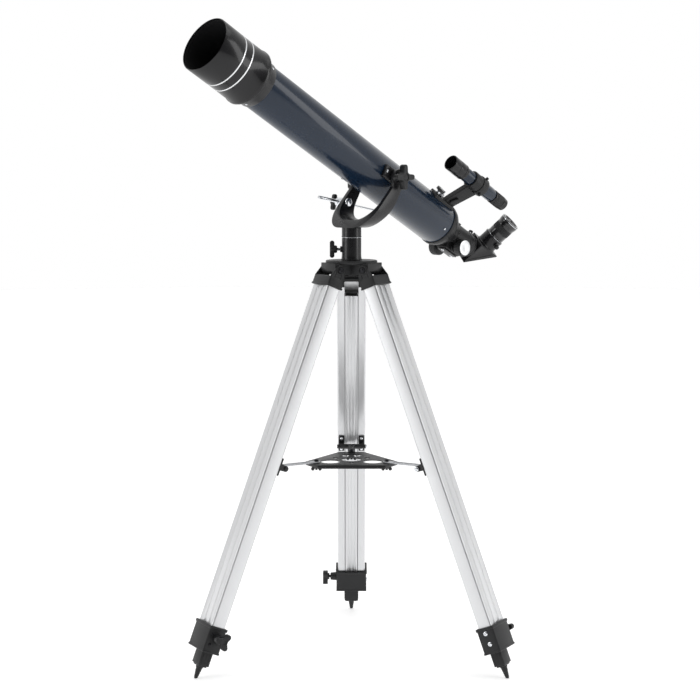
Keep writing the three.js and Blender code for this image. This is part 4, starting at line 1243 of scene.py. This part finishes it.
# Finder --------------------------------------------------------------------------------------
# A small straight telescope: a black hood and objective, a navy tube, and a black eyepiece that
# turns to focus. A moulded bracket clamps it and is bolted to the main tube by two studs.

finder_focus = joints["finder_focus"]
stud_direction = Vector(joints["finder_nut_turn_front"]["axis"])
finder_origin = Vector(finder_focus["pos_m"]) - tube_direction * 220 * mm
finder_place = place_of(finder_origin, tube_direction, stud_direction)
finder_out = 98.9
hood = turned([(12.4, 88.6), (13.3, 88.2), (13.8, 88.8), (13.9, 90), (13.9, 103), (13.6, 103.4),
               (13.6, 104.2),
               (13.9, 104.6), (13.9, 117.6), (13.4, 118.2), (13.4, 119), (13.8, 119.4), (13.8, 122.6),
               (12.6, 124),
               (12.6, 126), (11.4, 126), (11.4, 118), (12.4, 117), (12.4, 88.6)], 0.05, 96)
put(lying_x(hood), "finder_hood", finder_place, "tube", "gloss_black", gloss_black)
straight = turned([(10, 123), (12, 123), (12, 202), (11.6, 203), (10.8, 203.4), (10.8, 208),
                   (9.4, 208), (9.4, 124),
                   (10, 123)], 0.1, 96)
put(lying_x(straight), "finder_barrel", finder_place, "tube", "navy_paint", navy, "finder_tube")
glass = turned([(0, 110.8)] + [(r, 110.8 + (r / 12.1) ** 2) for r in (3, 6, 9, 12.1)] + [(12.1, 116),
                                                                                         (0,
                                                                                          116)], 0, 64)
put(lying_x(glass), "finder_glass", finder_place, "tube", "glass", coated, "finder_lens")
ocular = turned([(0, 200), (9.1, 200), (9.1, 208.8), (11.4, 208.8), (11.9, 209.4), (12, 213), (11.4, 213.6),
                 (11.4, 230.4), (11.9, 231), (11.7, 236), (10.9, 241.4), (9.8, 242.3), (7.6, 242.3),
                 (6.2, 240.4),
                 (0, 240.4)], 0, 96)
put(lying_x(ocular), "finder_ocular", finder_place, "finder_eyepiece", "satin_black", gloss_black,
    "finder_eyepiece")
put(lying_x(slab(fluted(11.9, 0.4, 40), 214, 230, 0.1, 1)), "finder_grip", finder_place, "finder_eyepiece",
    "satin_black", charcoal)
finder_eye = turned([(0, 239.6), (5.8, 239.6), (5.8, 240.6), (3, 241.2), (0, 241.4)], 0, 48)
put(lying_x(finder_eye), "finder_eye_lens", finder_place, "finder_eyepiece", "glass", coated)

base = tube_radius + 0.3 - finder_out
front_ring = turned([(12.3, 146), (15, 146), (15.4, 147), (15.2, 166), (12.3, 166), (12.3, 146)], 0.4, 96)
rear_ring = turned([(12.3, 165), (16.4, 165), (16.6, 166), (16.6, 178.6), (15.8, 180), (12.3, 180),
                    (12.3, 165)], 0.4, 96)
stalk_outline = [(137, base - 3), (160, base - 3), (162.5, base + 8), (178, -13), (150, -13),
                 (140, base + 12)]
stalk = moved(slab(stalk_outline, -5.5, 5.5, 1.4, 3), spin(90, "X"))
shoe = block((110, 163), (-11, 11), (base - 6, base + 3.6), 1.6, 3)
bracket = fused(shoe, stalk, lying_x(front_ring), lying_x(rear_ring))
tube_room = moved(
    lying_x(turned([(0, 60), (tube_radius + 0.3, 60), (tube_radius + 0.3, 200), (0, 200)], count=128)),
    shift(0, 0, -finder_out),
)
finder_room = lying_x(turned([(0, 140), (12.2, 140), (12.2, 190), (0, 190)], count=96))
bracket = cut(bracket, tube_room, finder_room)
put(rounded(bracket, 0), "finder_clamp", finder_place, "tube", "satin_black", charcoal, "finder_bracket")
for i, turn in enumerate((60, 180, 300)):
    screw = moved(thumb_screw(8, 2.8), shift(0, 0, 12.4), spin(turn + 60, "X"), shift(172.5, 0, 0))
    put(screw, f"finder_set_screw_{i + 1}", finder_place, "tube", "black_plastic", charcoal)
tilt_knob = slab(arc(5, 0, 3.6, -90, 90, 8) + arc(-5, 0, 3.6, 90, 270, 8), 0, 5, 1, 3)
put(moved(tilt_knob, spin(90, "X"), spin(-62, "Y"), shift(151, -5.5, base + 13)), "stalk_thumb_screw",
    finder_place, "tube", "black_plastic", charcoal)
for side, x in (("front", 117.5), ("rear", 127)):
    stud_profile = [(0, base + 0.8)]
    for i in range(14):
        stud_profile += [(2, base + 1 + i), (1.75, base + 1.5 + i)]
    stud_profile += [(2, base + 15), (0, base + 15.3)]
    stud = moved(turned(stud_profile, count=24), shift(x, 0, 0))
    put(stud, f"finder_stud_{side}", finder_place, "tube", "chrome", chrome)
nut = slab(fluted(4.4, 0.35, 24), base + 4.3, base + 9.4, 0.5)
put(moved(nut, shift(127, 0, 0)), "finder_nut_piece_rear", finder_place, "finder_nut_rear",
    "grey_steel", zinc,
    "finder_nut_rear")
jam_nut = slab([(3.9 * x, 3.9 * y) for x, y in arc(0, 0, 1, 0, 300, 5)], base + 4.1, base + 8.6, 0.4)
put(moved(jam_nut, shift(117.5, 0, 0)), "finder_jam_nut", finder_place, "tube", "chrome", chrome)
nut = slab(fluted(8.4, 0.5, 24), base + 9.6, base + 14.6, 0.9, 3)
put(moved(nut, shift(117.5, 0, 0)), "finder_nut_piece_front", finder_place, "finder_nut_front",
    "satin_black",
    enamel, "finder_nut_front")

# Studio --------------------------------------------------------------------------------------
# A pale floor, an even white surround that is darker behind the camera, and three soft lights.


def pale_floor(name):
    finish = Finish(name, Emission_Color=(1, 1, 1, 1), Emission_Strength=0.42)
    cloud = finish.noise(1.5, 3)
    finish.set("Base Color", finish.colour((0.84, 0.84, 0.84), (0.88, 0.88, 0.88), cloud))
    finish.set("Roughness", cloud * 0.1 + 0.55)
    return finish.material


clear()
bpy.ops.mesh.primitive_circle_add(vertices=128, radius=9, fill_type="NGON", location=(0, 0, -0.0004))
ground_disc = bpy.context.object
ground_disc.name = "floor"
bpy.ops.object.transform_apply()
ground_disc.data.materials.append(pale_floor("pale_floor"))


def softbox(name, place, aim, size, power):
    lamp = bpy.data.lights.new(name, "AREA")
    lamp.shape = "RECTANGLE"
    lamp.size, lamp.size_y = size
    lamp.energy = power
    box = bpy.data.objects.new(name, lamp)
    box.location = place
    box.rotation_euler = (Vector(aim) - Vector(place)).to_track_quat("-Z", "Y").to_euler()
    bpy.context.scene.collection.objects.link(box)


softbox("softbox_left", (-3.4, -1.2, 1.7), (0, 0, 0.7), (1.0, 3.2), 34)
softbox("softbox_right", (3.4, -1.0, 1.7), (0, 0, 0.7), (1.2, 3.2), 34)
softbox("softbox_top", (0.2, -0.6, 4.2), (0, 0, 0.6), (5.5, 2.4), 42)

world = bpy.data.worlds.new("surround")
world.use_nodes = True
bpy.context.scene.world = world
sky = world.node_tree
direction = sky.nodes.new("ShaderNodeTexCoord")
split = sky.nodes.new("ShaderNodeSeparateXYZ")
ramp = sky.nodes.new("ShaderNodeMapRange")
for entry, value in (("From Min", -0.95), ("From Max", 0.55), ("To Min", 0.08), ("To Max", 0.95)):
    ramp.inputs[entry].default_value = value
seen = sky.nodes.new("ShaderNodeLightPath")
strength = sky.nodes.new("ShaderNodeMath")
strength.operation = "MAXIMUM"
sky.links.new(direction.outputs["Generated"], split.inputs[0])
sky.links.new(split.outputs["Y"], ramp.inputs["Value"])
sky.links.new(ramp.outputs["Result"], strength.inputs[0])
sky.links.new(seen.outputs["Is Camera Ray"], strength.inputs[1])
sky.links.new(strength.outputs["Value"], sky.nodes["Background"].inputs["Strength"])
sky.nodes["Background"].inputs["Color"].default_value = (1, 1, 1, 1)

camera = bpy.data.objects.new("camera", bpy.data.cameras.new("camera"))
camera.data.lens = 86.806
camera.data.sensor_width = 36
camera.data.clip_end = 50
camera.location = (-0.01722, -2.85031, 0.82721)
camera.rotation_euler = (math.pi / 2 - 0.10747, 0, 0)
bpy.context.scene.collection.objects.link(camera)
bpy.context.scene.camera = camera
bpy.context.scene.view_settings.view_transform = "Standard"
